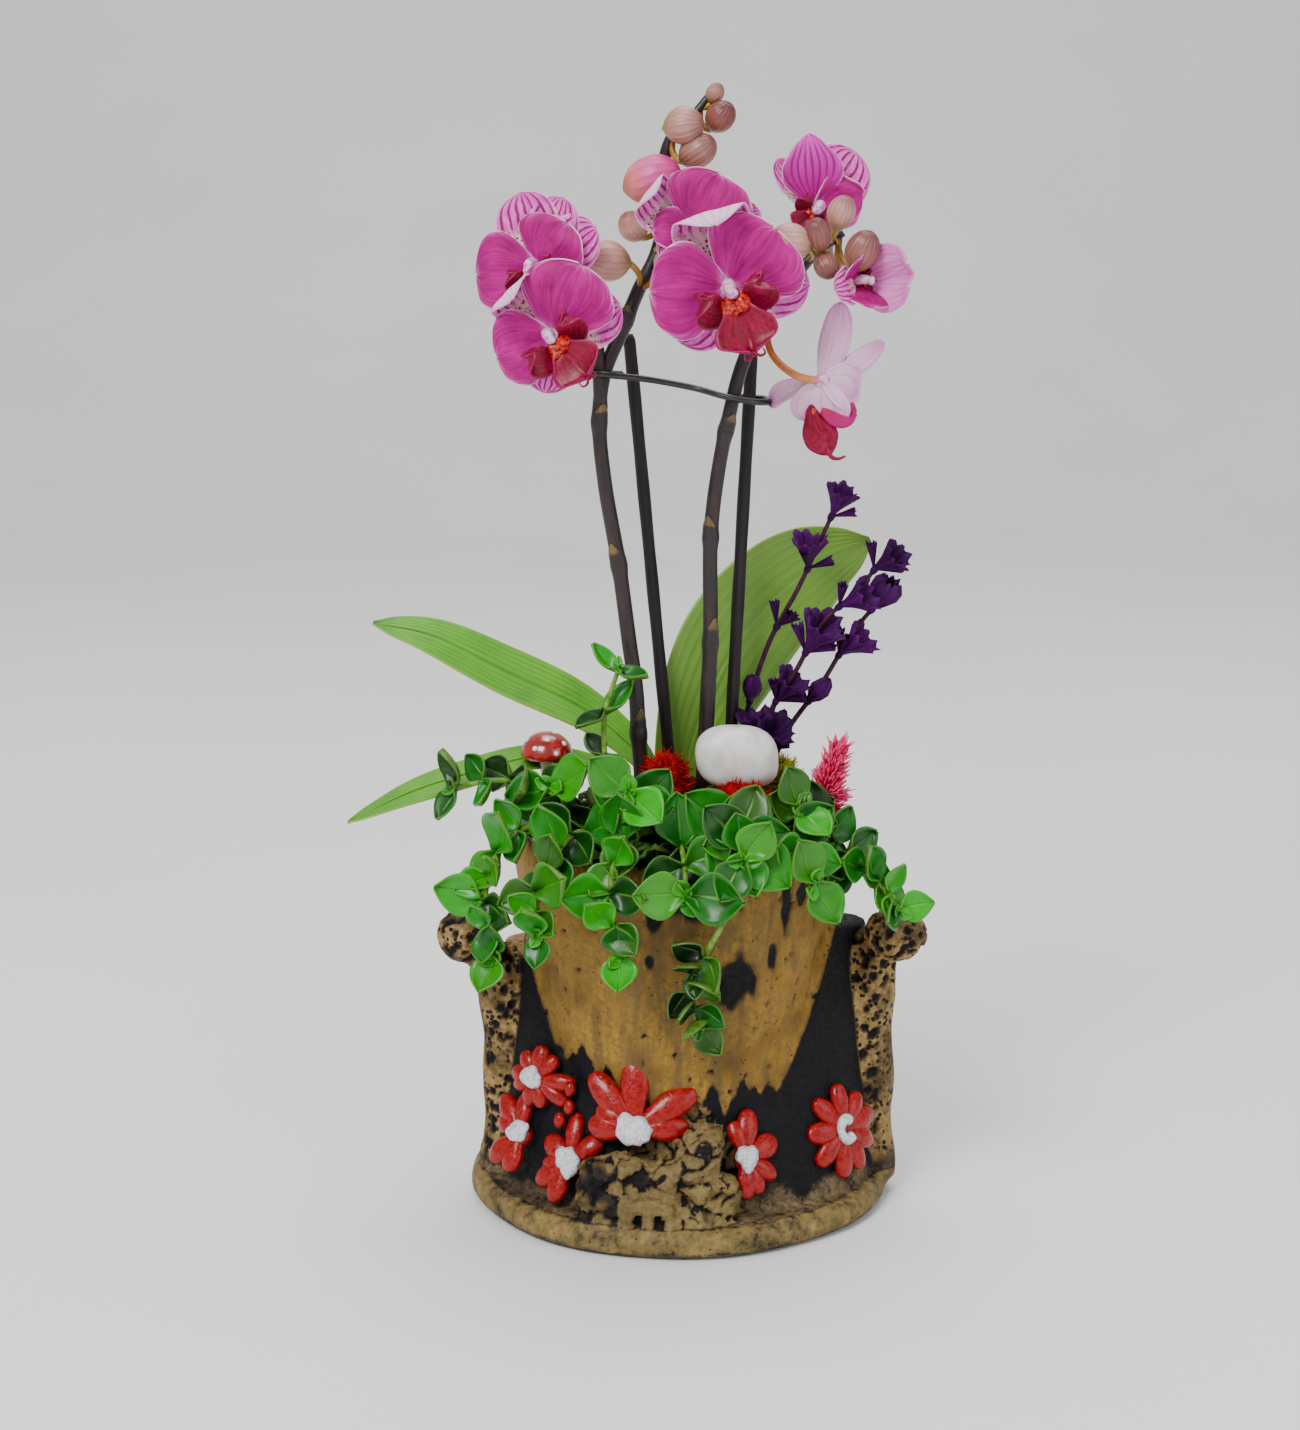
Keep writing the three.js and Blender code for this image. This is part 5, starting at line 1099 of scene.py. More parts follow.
def makeCallusPaint():  # orange with dark dots
    paint = Paint("callusPaint", gloss=0.5, soft=0.05, coat=0.3, coatRough=0.2)
    spot = paint.cells(0.9).step(0.5, 0.35)
    fine = paint.noise(0.9, 2)
    colour = paint.ramp(fine, (0.3, "A01404"), (0.5, "C83606"), (0.66, "DA5C0C"), (0.8, "E8A868"))
    colour = paint.blend(spot * fine.step(0.35, 0.5), colour, "700410")
    paint.finish(colour, 0.35, fine, 0.25)
    return paint


callusPaint = makeCallusPaint()


# tepals of the two blooms that differ: turn, steps, half width, outline, paint, cup depth and ruffle
cupArch = [(0.8, -1), (7, -1.5), (11.5, 1.5), (13, 6.5), (11.5, 10.5)]
oddTepals = {
    # two pale sepals arch over from the right, striped and magenta ones show on the left
    "right_cup": [(132, cupArch, 7.8, petalWidth, 3, -2, 0.2),
                  (184, cupArch, 7.8, petalWidth, 3, -2, 0.2),
                  (-34, [(0.8, 0), (8, -1), (15, -4), (19, -8)], 6.4, slimWidth, 1, 0.5, 0.3),
                  (250, [(0.8, 0), (7, 1), (11, 2), (14, 2)], 7.2, slimWidth, 0, -1.2, 0.3),
                  (30, [(0.8, 0), (6, 1), (9, 2), (12, 3)], 6.4, slimWidth, 0, -1.2, 0.3)],
    # seen from behind: one upright sepal, two slim petals, two wide pale sepals
    "hanging": [(-16, [(0.5, -1), (9, -4), (18, -10), (25, -16)], 4.1, sepalWidth, 3, 0.9, 0.2),
                (-58, [(0.8, -2), (8, -3), (16, -6.5), (22, -11)], 3.0, slimWidth, 3, 1.2, 0.3),
                (98, [(0.8, -2), (7, -5), (12.5, -6), (18, -2.5)], 2.9, slimWidth, 3, -1.2, 0.3),
                (-104, [(0.3, -2), (4.4, -3.2), (7.6, -3), (10, -1.4)], 6.2, sepalWidth, 3, -1.4, 0.2),
                (172, [(0.3, -2), (4.4, -3.4), (8, -3.2), (10.8, -1)], 7.8, sepalWidth, 3, -1.4, 0.2)],
}
# steps from the hub as (distance, lift)
hoodSteps = [(0.8, -2.1), (10, -2.6), (16.5, -1.4), (19.4, 2.4), (18.6, 6.4), (16.4, 8.6)]
sepalSteps = [(0.8, -2.1), (8, -1.8), (15, -2.2), (20.4, -3.4)]
petalSteps = [(0.8, 0.3), (6, 1.2), (13, 1.9), (18, 1.2), (20.8, -0.3)]


def tepal(bloom, turn, steps, half, outline, tone, coat, cupDeep, ruffle, rows=25, cols=17):
    # a blade from the hub, dished by the square of v, with a groove down its middle and waves at its edges
    face, right, up = bloomBasis(bloom)
    a, s, lean = np.radians(turn), bloom["size"], bloom["close"]
    way = up * np.cos(a) + right * np.sin(a)
    line = [np.array(bloom["at"]) + way * d * s * np.cos(lean) + face * (lift * s + d * s * np.sin(lean))
            for d, lift in steps]

    def cup(u, v):
        groove = 0.35 * np.exp(-(v / 0.14) ** 2) * (1 - u)
        waves = ruffle * v ** 4 * np.sin(u * 9 + tone * 20 + v * 2)
        ripple = 0.25 * ruffle * np.sin(u * 5 + v * 7 + tone * 9)
        return s * (cupDeep * v * v * (1 - 0.4 * u) - groove + waves + ripple)

    return blade(line, np.cross(face, way), half * s, outline, rows, cols, cup, 0.7, tone, coat)


def spotIn(bloom, size):  # places in a bloom's own frame: to its right, to its top and towards its face
    face, right, up = bloomBasis(bloom)
    return lambda r, u, f: np.array(bloom["at"]) + right * r * size + up * u * size + face * f * size


def bloomShapes(name, bloom, k):
    # sepals, petals, and in the middle a hub, the bent column and its cap
    face, _, up = bloomBasis(bloom)
    s = bloom["size"]
    spot = spotIn(bloom, s)
    tone = [vary(k * 11 + i) for i in range(5)]
    if "pointed" in bloom:
        tone[3] += 1.02  # its left petal shows dark veins
    longer = lambda steps, share: [(d * share, lift) for d, lift in steps]
    if name in oddTepals:
        shapes = [tepal(bloom, turn, steps, half, outline, tone[i], coat, deep, ruffle)
                  for i, (turn, steps, half, outline, coat, deep, ruffle) in enumerate(oddTepals[name])]
    else:
        shapes = [tepal(bloom, turn, longer(hoodSteps if bloom["hood"] and i == 0 else sepalSteps, long),
                        8.2 * wide, sepalWidth, tone[i], 1, 0.6, 0.3)
                  for i, (turn, long, wide) in enumerate(bloom["sepals"])]
        outline = pointWidth if "pointed" in bloom else petalWidth
        shapes += [tepal(bloom, turn, longer(petalSteps, long), 12.3 * wide, outline, tone[3 + i], 0, 0.9, 0.8,
                         29, 23)
                   for i, (turn, long, wide) in enumerate(bloom["petals"])]
    shapes.append(lumpOf(spot(0, 0, -0.6), (2.4 * s, 2.4 * s, 2.6 * s), face, 18, 12, coat=2))
    shapes.append(tubeOf([spot(0, 0.2, 0), spot(0, 1.2, 3), spot(0, 0.9, 6), spot(0, -0.6, 8)],
                         lambda t: s * (1.25 + 0.4 * np.sin(t * np.pi)), 16, 22, 0.5, 2))
    cap = (1.5 * s, 1.25 * s, 1.3 * s)
    shapes.append(lumpOf(spot(0, -0.8, 8.0), cap, face - up * 0.4, 18, 12, 0.05, 1.5, k, coat=2))
    return shapes


lobeWidth = swell((0, 0.4), (0.35, 0.9), (0.6, 1), (0.85, 0.75), (1, 0.12))
midWidth = swell((0, 0.34), (0.22, 0.42), (0.5, 0.95), (0.68, 1), (0.88, 0.62), (1, 0.1))


def hangingLip(bloom):
    # two lobes that hang below the sepals, a thin curl at the end of one, and the callus
    _, right, up = bloomBasis(bloom)
    s = bloom["size"] * bloom["lip"]
    spot = spotIn(bloom, s)
    long = [spot(3.2, -5, 0), spot(3, -9.5, 1.2), spot(1.2, -14, 2.4), spot(-0.6, -18, 3)]
    curl = [spot(-0.1, -16.6, 2.8), spot(-1.0, -18.8, 3), spot(-2.8, -19.4, 3), spot(-4.6, -18.8, 3)]
    short = [spot(0.5, -6.4, 0.6), spot(-3.6, -7.6, 1.4), spot(-8, -8, 1.6)]
    return [blade(long, right - up * 0.2, 4.4 * s, midWidth, 21, 15, lambda u, v: 1.2 * v * v, 0.7, 0.1),
            tubeOf(curl, lambda t: 0.85 - 0.55 * t, 10, 20, 0.1),
            blade(short, up, 4 * s, lobeWidth, 17, 13, lambda u, v: -1.1 * v * v, 0.7, 0.3),
            lumpOf(spot(2.9, -6.6, 0.9), (1.0, 1.0, 1.8), up, 16, 12, 0.1, 1.5, 3, coat=1)]


def lipShapes(name, bloom, k):
    # two side lobes that curve in over the column, the middle lobe, and on each side a curl and a callus
    if name == "hanging":
        return hangingLip(bloom)
    face, right, up = bloomBasis(bloom)
    s = bloom["size"] * bloom["lip"]
    spot = spotIn(bloom, s)
    shapes = []
    for sign in (-1, 1):
        lobe = [spot(sign * 1.2, -3.2, 3.6), spot(sign * 4.6, -3.4, 5.4), spot(sign * 7.2, -1.4, 8),
                spot(sign * 7.4, 1.6, 10)]
        shapes.append(blade(lobe, up * 0.9 + face * 0.5, 4.4 * s, lobeWidth, 19, 13,
                            lambda u, v: sign * 1.0 * s * v * v, 0.7, 0.1 if sign < 0 else 0.15))
    tongue = [spot(0, -2.6, 3.6), spot(0, -5.4, 6.4), spot(0, -9.5, 7.4), spot(0, -13, 8.6), spot(0, -15, 10.5)]
    keel = lambda u, v: s * (1.5 * v * v - 0.8 * np.exp(-(v / 0.16) ** 2)
                             + 0.35 * np.sin(u * 8 + v * 5) * v * v)
    shapes.append(blade(tongue, right, 7.4 * s, midWidth, 25, 17, keel, 0.8, 0.9))
    for sign in (-1, 1):
        curl = [spot(0, -14.4, 10), spot(sign * 1.2, -15.6, 11), spot(sign * 2.4, -15.2, 12.4),
                spot(sign * 2.2, -14, 12.8)]
        shapes.append(tubeOf(curl, lambda t: 0.45 * s * (1 - 0.6 * t), 8, 14, 0.1))
        callus = (2.3 * s, 1.9 * s, 2.1 * s)
        shapes.append(lumpOf(spot(sign * 1.3, -3.6, 6.2), callus, face + right * sign * 0.3, 26, 18, 0.3, 1.5,
                             k + sign, coat=1))
    return shapes


for k, (name, bloom) in enumerate(blooms.items()):
    slot = "pale_tepal" if name == "hanging" else "tepal"
    bloomPaints = [petalPaint, sepalPaint, columnPaint, palePaint]
    put(pieceName("bloom", name), bloomShapes(name, bloom, k), bloomPaints, slot, [f"bloom_{name}"])
    put(pieceName("lip", name), lipShapes(name, bloom, k), [lipPaint, callusPaint], "lip", [f"lip_{name}"])
print("blooms made")


# stakes and wire clip

stakeLines = {"left": [(1, 6, 92), (-7, 5, 176), (-15, 4, 261)],
              "right": [(13.5, 4, 92), (17, 3, 172), (21, 2, 256)]}
clipLine = [(-16.5, -0.5, 249.5), (-22, -3, 250), (-28, -8.5, 250.6), (-26.5, -13, 250.4), (-20, -13.2, 249.8),
            (-10, -10, 248.6), (4, -9, 246), (12, -13.2, 244), (19, -14, 242.6), (24.5, -11, 242),
            (26, -4, 242), (24.6, 4.6, 242.2), (18.5, 5.6, 242.6), (16.6, 2, 243)]
stakePaint = grainPaint("stakePaint", 1.3, [(0.3, "0E0A0C"), (0.55, "1E181B"), (0.8, "3A2C2C")], (0.42, 0.62),
                        0.25, detail=4, stretch=(1, 1, 0.06), gloss=0.35)
wirePaint = grainPaint("wirePaint", 1.1, [(0.3, "0B090A"), (0.6, "181516"), (0.85, "2E2A2A")], (0.28, 0.45),
                       0.06, gloss=0.5, coat=0.3, coatRough=0.2)
stakeRadius = lambda t: 1.9 + 0.06 * np.sin(t * 37) - 0.7 * smooth(0.992, 1, t)
wireRadius = lambda t: 0.95 - 0.5 * smooth(0.994, 1, np.abs(t * 2 - 1))
for name, line in stakeLines.items():
    put(pieceName("stake", name), tubeOf(line, stakeRadius, 18, 90), [stakePaint], "stake", [f"stake_{name}"])
put("clipWire", tubeOf(clipLine, wireRadius, 14, 170), [wirePaint], "wire", ["stake_clip"])
print("stakes made")


# strap leaves

strapWidth = swell((0, 0.35), (0.2, 0.62), (0.5, 1), (0.75, 0.9), (0.92, 0.5), (1, 0.06))


def makeStrapPaint():  # fine veins as a sine across, a dark midrib, pale rims
    paint = Paint("strapPaint", gloss=0.45, soft=0.08, reach=0.003, coat=0.15, coatRough=0.3)
    along, across = paint.along()
    mid = ((across - 0.5) * 2).size()
    vein = ((across - 0.5) * 70).sine()
    cloud = paint.noise(14, 3)
    fine = paint.noise(1.2, 3, at=paint.at(along * 14, across * 40, paint.mark("tone") * 9))
    colour = paint.ramp(cloud * 0.7 + fine * 0.3, (0.3, "3E7A1E"), (0.5, "559628"), (0.72, "6CA836"))
    colour = paint.blend(mid.step(0.05, 0.0, 0, 0.75), colour, "4E8526")
    colour = paint.blend(vein.step(0.5, 1, 0, 0.12), colour, "C4DC8C")
    colour = paint.blend(mid.step(0.95, 1.0, 0, 0.6), colour, "A9CF6C")
    colour = paint.blend(paint.mark("back") * 0.5, colour, "8AA45E")
    relief = vein * 0.3 + fine * 0.3 - mid.step(0.06, 0.0)
    paint.finish(colour, fine.step(0.3, 0.7, 0.34, 0.46), relief, 0.25)
    return paint


strapPaint = makeStrapPaint()
strapSet = {
    "leaf_right": dict(points=[(1, 12, 112), (2, 13, 130), (9, 15, 152), (22, 19, 174), (40, 21, 190),
                               (58, 17, 199)],
                       side=(0.72, 0.12, -0.7), half=17.5, dish=-1.6, tone=0.2),
    "leaf_left": dict(points=[(-5, 9, 113), (-10, 9, 130), (-26, 9, 146), (-52, 6, 160), (-74, 1, 172),
                              (-91, -3, 176.5)],
                      side=(0, -0.74, -0.67), half=9.6, dish=1.2, tone=0.6),
    "leaf_low_left": dict(points=[(-12, 0, 116), (-20, -1, 130), (-42, -5, 136), (-62, -11, 132.5),
                                  (-80, -18, 128), (-97, -25, 121)],
                          side=(0, -0.8, -0.5), half=5.6, dish=0.8, tone=0.9),
}


def strapShape(leaf):  # a blade dished across, with a groove down its middle and slow waves
    def cup(u, v):
        dish = leaf["dish"] * np.abs(v) ** 1.2 * np.sin(np.pi * np.minimum(1, u + 0.15))
        return dish - 0.5 * np.exp(-(v / 0.08) ** 2) + 0.3 * np.sin(u * 14 + v) * v * v

    return blade(leaf["points"], leaf["side"], leaf["half"], strapWidth, 70, 31, cup, 1.3, leaf["tone"])


for name, leaf in strapSet.items():
    put(pieceName(name, "blade"), strapShape(leaf), [strapPaint], "strap_leaf", [name])
print("strap leaves made")


# pebble, toadstool, moss and plume

pebbleSet = {"at": (17, -19, 139.2), "radii": (12.2, 8.8, 9.2), "square": 2.7}
pebblePaint = grainPaint("pebblePaint", 5, [(0.3, "DAD4D0"), (0.5, "F1EDEA"), (0.7, "FBFAF8")], (0.28, 0.45),
                         0.25, detail=5, gloss=0.5, soft=0.1, coat=0.2, coatRough=0.3)


def pebbleShape():
    # a rough egg on its side, its corners squared out by a power over two
    at, (long, wide, high), power = pebbleSet["at"], pebbleSet["radii"], pebbleSet["square"]
    stone = lumpOf(at, (wide, high, long), (1, 0.1, -0.12), 64, 44, 0.05, 14, 4)
    part = (stone.points - at) / [long, wide, high]
    square = np.linalg.norm(part, axis=1) / (np.abs(part) ** power).sum(1) ** (1 / power)
    stone.points = at + part * square[:, None] * [long, wide, high]
    return stone


put("pebbleStone", pebbleShape(), [pebblePaint], "pebble", ["pebble"])

capPaint = grainPaint("capPaint", 4, [(0.3, "720201"), (0.6, "9C0302"), (0.8, "B00604")], (0.18, 0.3), 0.15,
                      gloss=0.6, coat=0.8, coatRough=0.08)
dotPaint = grainPaint("dotPaint", 1, [(0.3, "E8E0D8"), (0.7, "FCFAF6")], 0.4, 0.15, gloss=0.5, coat=0.3)
stalkWhite = grainPaint("stalkWhite", 1.5, [(0.3, "CFC5AC"), (0.7, "F0EADA")], 0.6, 0.2,
                        stretch=(1, 1, 0.2), gloss=0.4)
toadstoolSet = {
    "cap": (-39.5, -9, 138.8), "dots": 11,
    "dome": [(0.02, -1.4), (5.5, -1.7), (7.3, -1.5), (7.7, -0.6), (7.4, 1.2), (6.4, 3.2), (4.4, 5.0),
             (2.2, 5.9), (0.02, 6.1)],
    "stalk": [(-38, -9, 109), (-39, -9, 122), (-39.5, -9, 137)],
}


def capShapes():  # the dome's profile turned about its axis, with dots where a spiral meets the dome
    at = np.array(toadstoolSet["cap"])
    shapes = [turned(spaced(smoothLine(toadstoolSet["dome"], 60), np.linspace(0, 1, 50)), 48, at)]
    for k in range(toadstoolSet["dots"]):
        a, h = k * 2.4, 0.95 - 0.082 * k
        n = np.array([np.cos(a) * np.sqrt(1 - h * h), np.sin(a) * np.sqrt(1 - h * h), h])
        radii = (0.95 - 0.02 * k, 0.95 - 0.02 * k, 0.45)
        shapes.append(lumpOf(at + n * [7.5, 7.5, 5.9], radii, n * [1, 1, 1.3], 14, 9, coat=1))
    return shapes


stalkShape = tubeOf(toadstoolSet["stalk"], lambda t: 2.1 - 0.3 * np.sin(t * 3), 18, 24)
put("toadstoolCap", capShapes(), [capPaint, dotPaint], "toadstool_red", ["toadstool_cap"])
put("toadstoolStalk", stalkShape, [stalkWhite], "toadstool_stalk", ["toadstool_stalk"])


def hair(bend, sides=4, rows=4):  # thin cone, one unit long, bent by the square of its height
    t = np.linspace(0, 1, rows)[:, None]
    turn = np.arange(sides) / sides * 2 * np.pi
    r = 0.06 * (1 - t) + 0.012
    return ringsOf(np.stack([r * np.cos(turn) + bend * t ** 2, r * np.sin(turn), t + 0 * r * turn], -1))


def mossPaint(name, dark, mid, light):
    paint = Paint(name, gloss=0.15)
    fine = paint.noise(1.5, 3)
    paint.finish(paint.ramp(fine * 0.45 + paint.mark("tone") * 0.55, (0.2, dark), (0.5, mid), (0.85, light)),
                 0.85, fine, 0.3)
    return paint


mossSet = {
    "red_moss_front": dict(at=(18, -27, 124.5), radii=(10.5, 8.5, 10.5), seed=1),
    "red_moss_middle": dict(at=(-4, -14, 131), radii=(8, 8, 9), seed=2),
    "red_moss_right": dict(at=(38, -12, 121), radii=(7, 8, 7), seed=3),
    "yellow_moss": dict(at=(30, -9, 129), radii=(6, 7, 9), seed=4),
}
redMossPaint = mossPaint("redMossPaint", "660101", "A60302", "CC0C06")
yellowMossPaint = mossPaint("yellowMossPaint", "5A5A12", "9C9A26", "C8C244")


def mossShapes(moss, count=620):
    # a rough lump with bent hairs that stand out of it on all sides, rather more of them upwards
    rng = np.random.default_rng(moss["seed"])
    radii = np.array(moss["radii"])
    core = lumpOf(moss["at"], radii * 0.8, rough=0.22, grain=2.6, seed=moss["seed"], sides=36, rows=24,
                  tone=0.25)
    way = unit(rng.normal(size=(count, 3)) + [0, 0, 0.35])
    at = np.array(moss["at"]) + way * radii * rng.uniform(0.55, 0.85, (count, 1))
    lean = unit(way + rng.normal(size=(count, 3)) * 0.45)
    length = rng.uniform(1.8, 3.6, count)
    size = np.stack([length * 1.5, length * 1.5, length], 1)
    tone, turn = rng.uniform(0, 1, count), rng.uniform(0, 6.28, count)
    return [core, copies(hair(0.3), at, lean, size, tone, turn)]


for name, moss in mossSet.items():
    paint, slot = (redMossPaint, "red_moss") if "red" in name else (yellowMossPaint, "yellow_moss")
    put(pieceName(name, "tuft"), mossShapes(moss), [paint], slot, [name])


def makePlumePaint():  # pink by tone, pale towards the tips
    paint = Paint("plumePaint", gloss=0.15)
    along, _ = paint.along()
    fine = paint.noise(1.2, 3)
    colour = paint.ramp(paint.mark("tone") * 0.6 + fine * 0.4, (0.2, "A80044"), (0.5, "D4005E"),
                        (0.8, "EC1C80"))
    paint.finish(paint.blend(along.step(0.6, 1.0, 0, 0.35), colour, "F49AC4"), 0.6, fine, 0.15)
    return paint


plumePaint = makePlumePaint()
plumeSet = {"core": [(36, -16, 110), (39.6, -21, 121), (42.6, -25, 131), (45, -27, 142.5)], "spikelets": 620}


def plumeShapes():
    # bent hairs along a stem, shorter and closer to it towards its tip; the lower ones fan out to the right
    core, count = plumeSet["core"], plumeSet["spikelets"]
    rng = np.random.default_rng(8)
    t = rng.uniform(0.34, 0.98, count)
    upward = unit(np.array(core[-1]) - np.array(core[1]))
    lean = unit(upward + unit(rng.normal(size=(count, 3))) * (0.95 - 0.5 * t)[:, None])
    length = (12 - 5 * t) * rng.uniform(0.7, 1.1, count)
    low = t < 0.6
    lean[low] = unit(lean[low] + np.array([0.55, -0.2, -0.35]) * rng.uniform(0, 1.2, (low.sum(), 1)))
    size = np.stack([np.full(count, 10.5), np.full(count, 10.5), length], 1)
    tone, turn = rng.uniform(0, 1, count), rng.uniform(0, 6.28, count)
    return [tubeOf(core, lambda s: 1.0 - 0.4 * s, 10, 30, 0.1),
            copies(hair(0.1, 4, 5), lineAt(core, t), lean, size, tone, turn)]


put("plumeHead", plumeShapes(), [plumePaint], "pink_dried", ["pink_plume"])
print("moss and plume made")


# dried violet sprigs: pleated cups in clusters on thin stems

def makeVioletPaint():  # dark pleats as a sine round each cup
    paint = Paint("violetPaint", gloss=0.15)
    turn = paint.along()[1]
    fine = paint.noise(0.9, 3)
    colour = paint.ramp(fine * 0.4 + paint.mark("tone") * 0.6, (0.2, "260830"), (0.5, "40104C"),
                        (0.85, "5A1A68"))
    pleat = (turn * 31).sine()
    colour = paint.blend(pleat.step(0.3, 1, 0, 0.4), colour, "14061A")
    paint.finish(colour, fine.step(0.3, 0.7, 0.55, 0.75), pleat * 0.5 + fine, 0.25)
    return paint


violetPaint = makeVioletPaint()
twigPaint = grainPaint("twigPaint", 1.2, [(0.3, "23101C"), (0.55, "3E1A30"), (0.8, "5C2C42")], 0.6, 0.15,
                       stretch=(1, 1, 0.3), gloss=0.3)

# clusters: place on the stem, size, and each part's kind with its lean to the right and to the front in degrees
violetSet = {
    "violet_sprig_a": dict(line=[(15, 14, 106), (20, 12, 143), (27, 10, 168), (36, 8, 186), (42, 6, 200),
                                 (47, 4, 212)],
                           clusters=[(0.955, 8.2, [("cup", 0, 10), ("slim", 55, 0)]),
                                     (0.8, 9.4, [("cup", -22, 15), ("slim", 48, 0), ("slim", -35, 40)]),
                                     (0.62, 8.6, [("slim", -32, 0), ("slim", 12, 30), ("slim", 34, 0)]),
                                     (0.4, 8.4, [("bud", -8, 20)])]),
    "violet_sprig_b": dict(line=[(23, 5, 106), (26, 2, 145), (35, 0, 162), (43, -2, 177), (53, -4, 187),
                                 (60, -6, 197)],
                           clusters=[(0.95, 9, [("slim", -40, 0), ("cup", 22, 20), ("slim", 50, 10)]),
                                     (0.8, 9.2, [("cup", 16, 20), ("slim", -40, 20)]),
                                     (0.63, 11, [("cup", 4, 20), ("slim", -42, 0), ("slim", 44, 20)]),
                                     (0.46, 9.4, [("cup", 6, 20), ("slim", 52, 0), ("slim", -36, 30)]),
                                     (0.3, 11.5, [("cup", 22, 30), ("cup", -12, 0), ("slim", 60, 20)])]),
    "violet_sprig_c": dict(line=[(25, 12, 106), (31, 8, 138), (43, 5, 157), (53, 4, 174), (65, 3, 188)],
                           clusters=[(0.88, 10.5, [("round", -8, 15), ("slim", -62, 10)]),
                                     (0.7, 9.4, [("cup", 22, 20), ("slim", -28, 0), ("slim", -4, 30)]),
                                     (0.52, 8.4, [("bud", 4, 10), ("slim", -70, 0)])]),
}
# outer wall of each kind up to its rim, one unit long, then the rim's teeth
violetKinds = {
    "cup": ([(0.05, 0), (0.09, 0.14), (0.17, 0.36), (0.3, 0.62), (0.43, 0.84), (0.5, 0.96)], 0.08),
    "round": ([(0.05, 0), (0.1, 0.1), (0.24, 0.3), (0.36, 0.55), (0.36, 0.78), (0.26, 0.92)], 0.07),
    "slim": ([(0.04, 0), (0.06, 0.2), (0.11, 0.5), (0.16, 0.8), (0.19, 0.96)], 0.06),
    "bud": ([(0.05, 0), (0.12, 0.08), (0.26, 0.32), (0.3, 0.55), (0.2, 0.85), (0.06, 0.98)], 0.02),
}


def pleatedCup(kind, seed):
    # the outer wall flares up, turns over a ragged rim and comes down inside
    wall, teeth = violetKinds[kind]
    inside = [(r * 0.82, h - 0.03) for r, h in wall[:1:-1]] + [(0.02, wall[1][1] + 0.08)]
    fold = lambda a, h: (1 + 0.13 * np.sin(a * 9 + seed) * smooth(0.05, 0.4, h) * smooth(1, 0.65, h)
                         + 0.1 * np.sin(a * 3 + seed))
    cup = turned(np.array(wall + inside), 40, ripple=fold)
    p = cup.points
    a = np.arctan2(p[:, 1], p[:, 0])
    p[:, 2] *= 1 + smooth(0.55, 1, p[:, 2]) * teeth * (np.sin(a * 9 + seed + 1.5) + 0.6 * np.sin(a * 3 + seed))
    return cup


def sprigShapes(k, sprig):
    # a thin stem, and at each cluster a knot with its cups leaning out of it
    rng = np.random.default_rng(50 + k)
    shapes = [tubeOf(sprig["line"], lambda t: 0.95 - 0.3 * t, 8, 60, 0.3, 1)]
    for c, (t, size, parts) in enumerate(sprig["clusters"]):
        behind, at, ahead = lineAt(sprig["line"], [t - 0.02, t, min(1, t + 0.02)])
        way = unit(ahead - behind)
        right = unit(np.cross((0, 1, 0), way))
        shapes.append(lumpOf(at, (1.15, 1.15, 1.7), way, 12, 8, 0.1, 1.5, c, 0.3))
        for i, (kind, lean, front) in enumerate(parts):
            a, b = np.radians(lean), np.radians(front)
            out = unit(way * np.cos(a) + right * np.sin(a) + np.array([0, -1, 0]) * np.tan(b))
            long = size * (0.9 if kind == "slim" else 1.14) * rng.uniform(0.94, 1.06)
            cup = pleatedCup(kind, k * 7 + c * 3 + i)
            shapes.append(copies(cup, at[None], out[None], [long] * 3, rng.uniform(0.15, 0.9, 1)))
    return shapes


for k, (name, sprig) in enumerate(violetSet.items()):
    put(pieceName(name, "look"), sprigShapes(k, sprig), [violetPaint, twigPaint], "violet_dried", [name])
print("violet sprigs made")


# creeping plant: crossed pairs of fleshy pointed leaves


def makeCreeperPaint():  # dark to light by tone, pale midrib and rim, matt back
    paint = Paint("creeperPaint", gloss=0.35, soft=0.04, reach=0.003, coat=0.18, coatRough=0.3)
    along, across = paint.along()
    tone = paint.mark("tone")
    edge = (across * 2 - 1).size().most(along.step(0.75, 1.0))
    mid = ((across - 0.5) * 2).size()
    fine = paint.noise(3.2, 3)
    colour = paint.ramp(tone * 0.75 + fine * 0.25,
                        (0.12, "081D06"), (0.36, "133F0B"), (0.6, "1D6E10"), (0.92, "3EA51E"))
    midShare = mid.step(0.1, 0.0, 0, 0.45) * along.step(0.9, 0.3)
    colour = paint.blend(midShare, colour, "7CC252")
    colour = paint.blend((tone * 37).sine().step(0.1, 0.9, 0, 0.4), colour, "4A7A1A")  # some leaves are olive
    colour = paint.blend(edge.step(0.96, 1.0, 0, 0.3), colour, "649C3C")
    back = paint.ramp(fine, (0.3, "42602A"), (0.7, "6C8846"))
    colour = paint.blend(paint.mark("back").step(0.5, 1, 0, 0.75), colour, back)
    paint.finish(colour, fine.step(0.3, 0.7, 0.3, 0.45),
                 fine * 0.5 - mid.step(0.12, 0.0), 0.25)
    return paint


creeperPaint = makeCreeperPaint()
shootPaint = grainPaint("shootPaint", 2.5, [(0.3, "3E6A20"), (0.5, "6C9440"), (0.75, "9AB06A")], 0.45, 0.15,
                        gloss=0.4, soft=0.05)
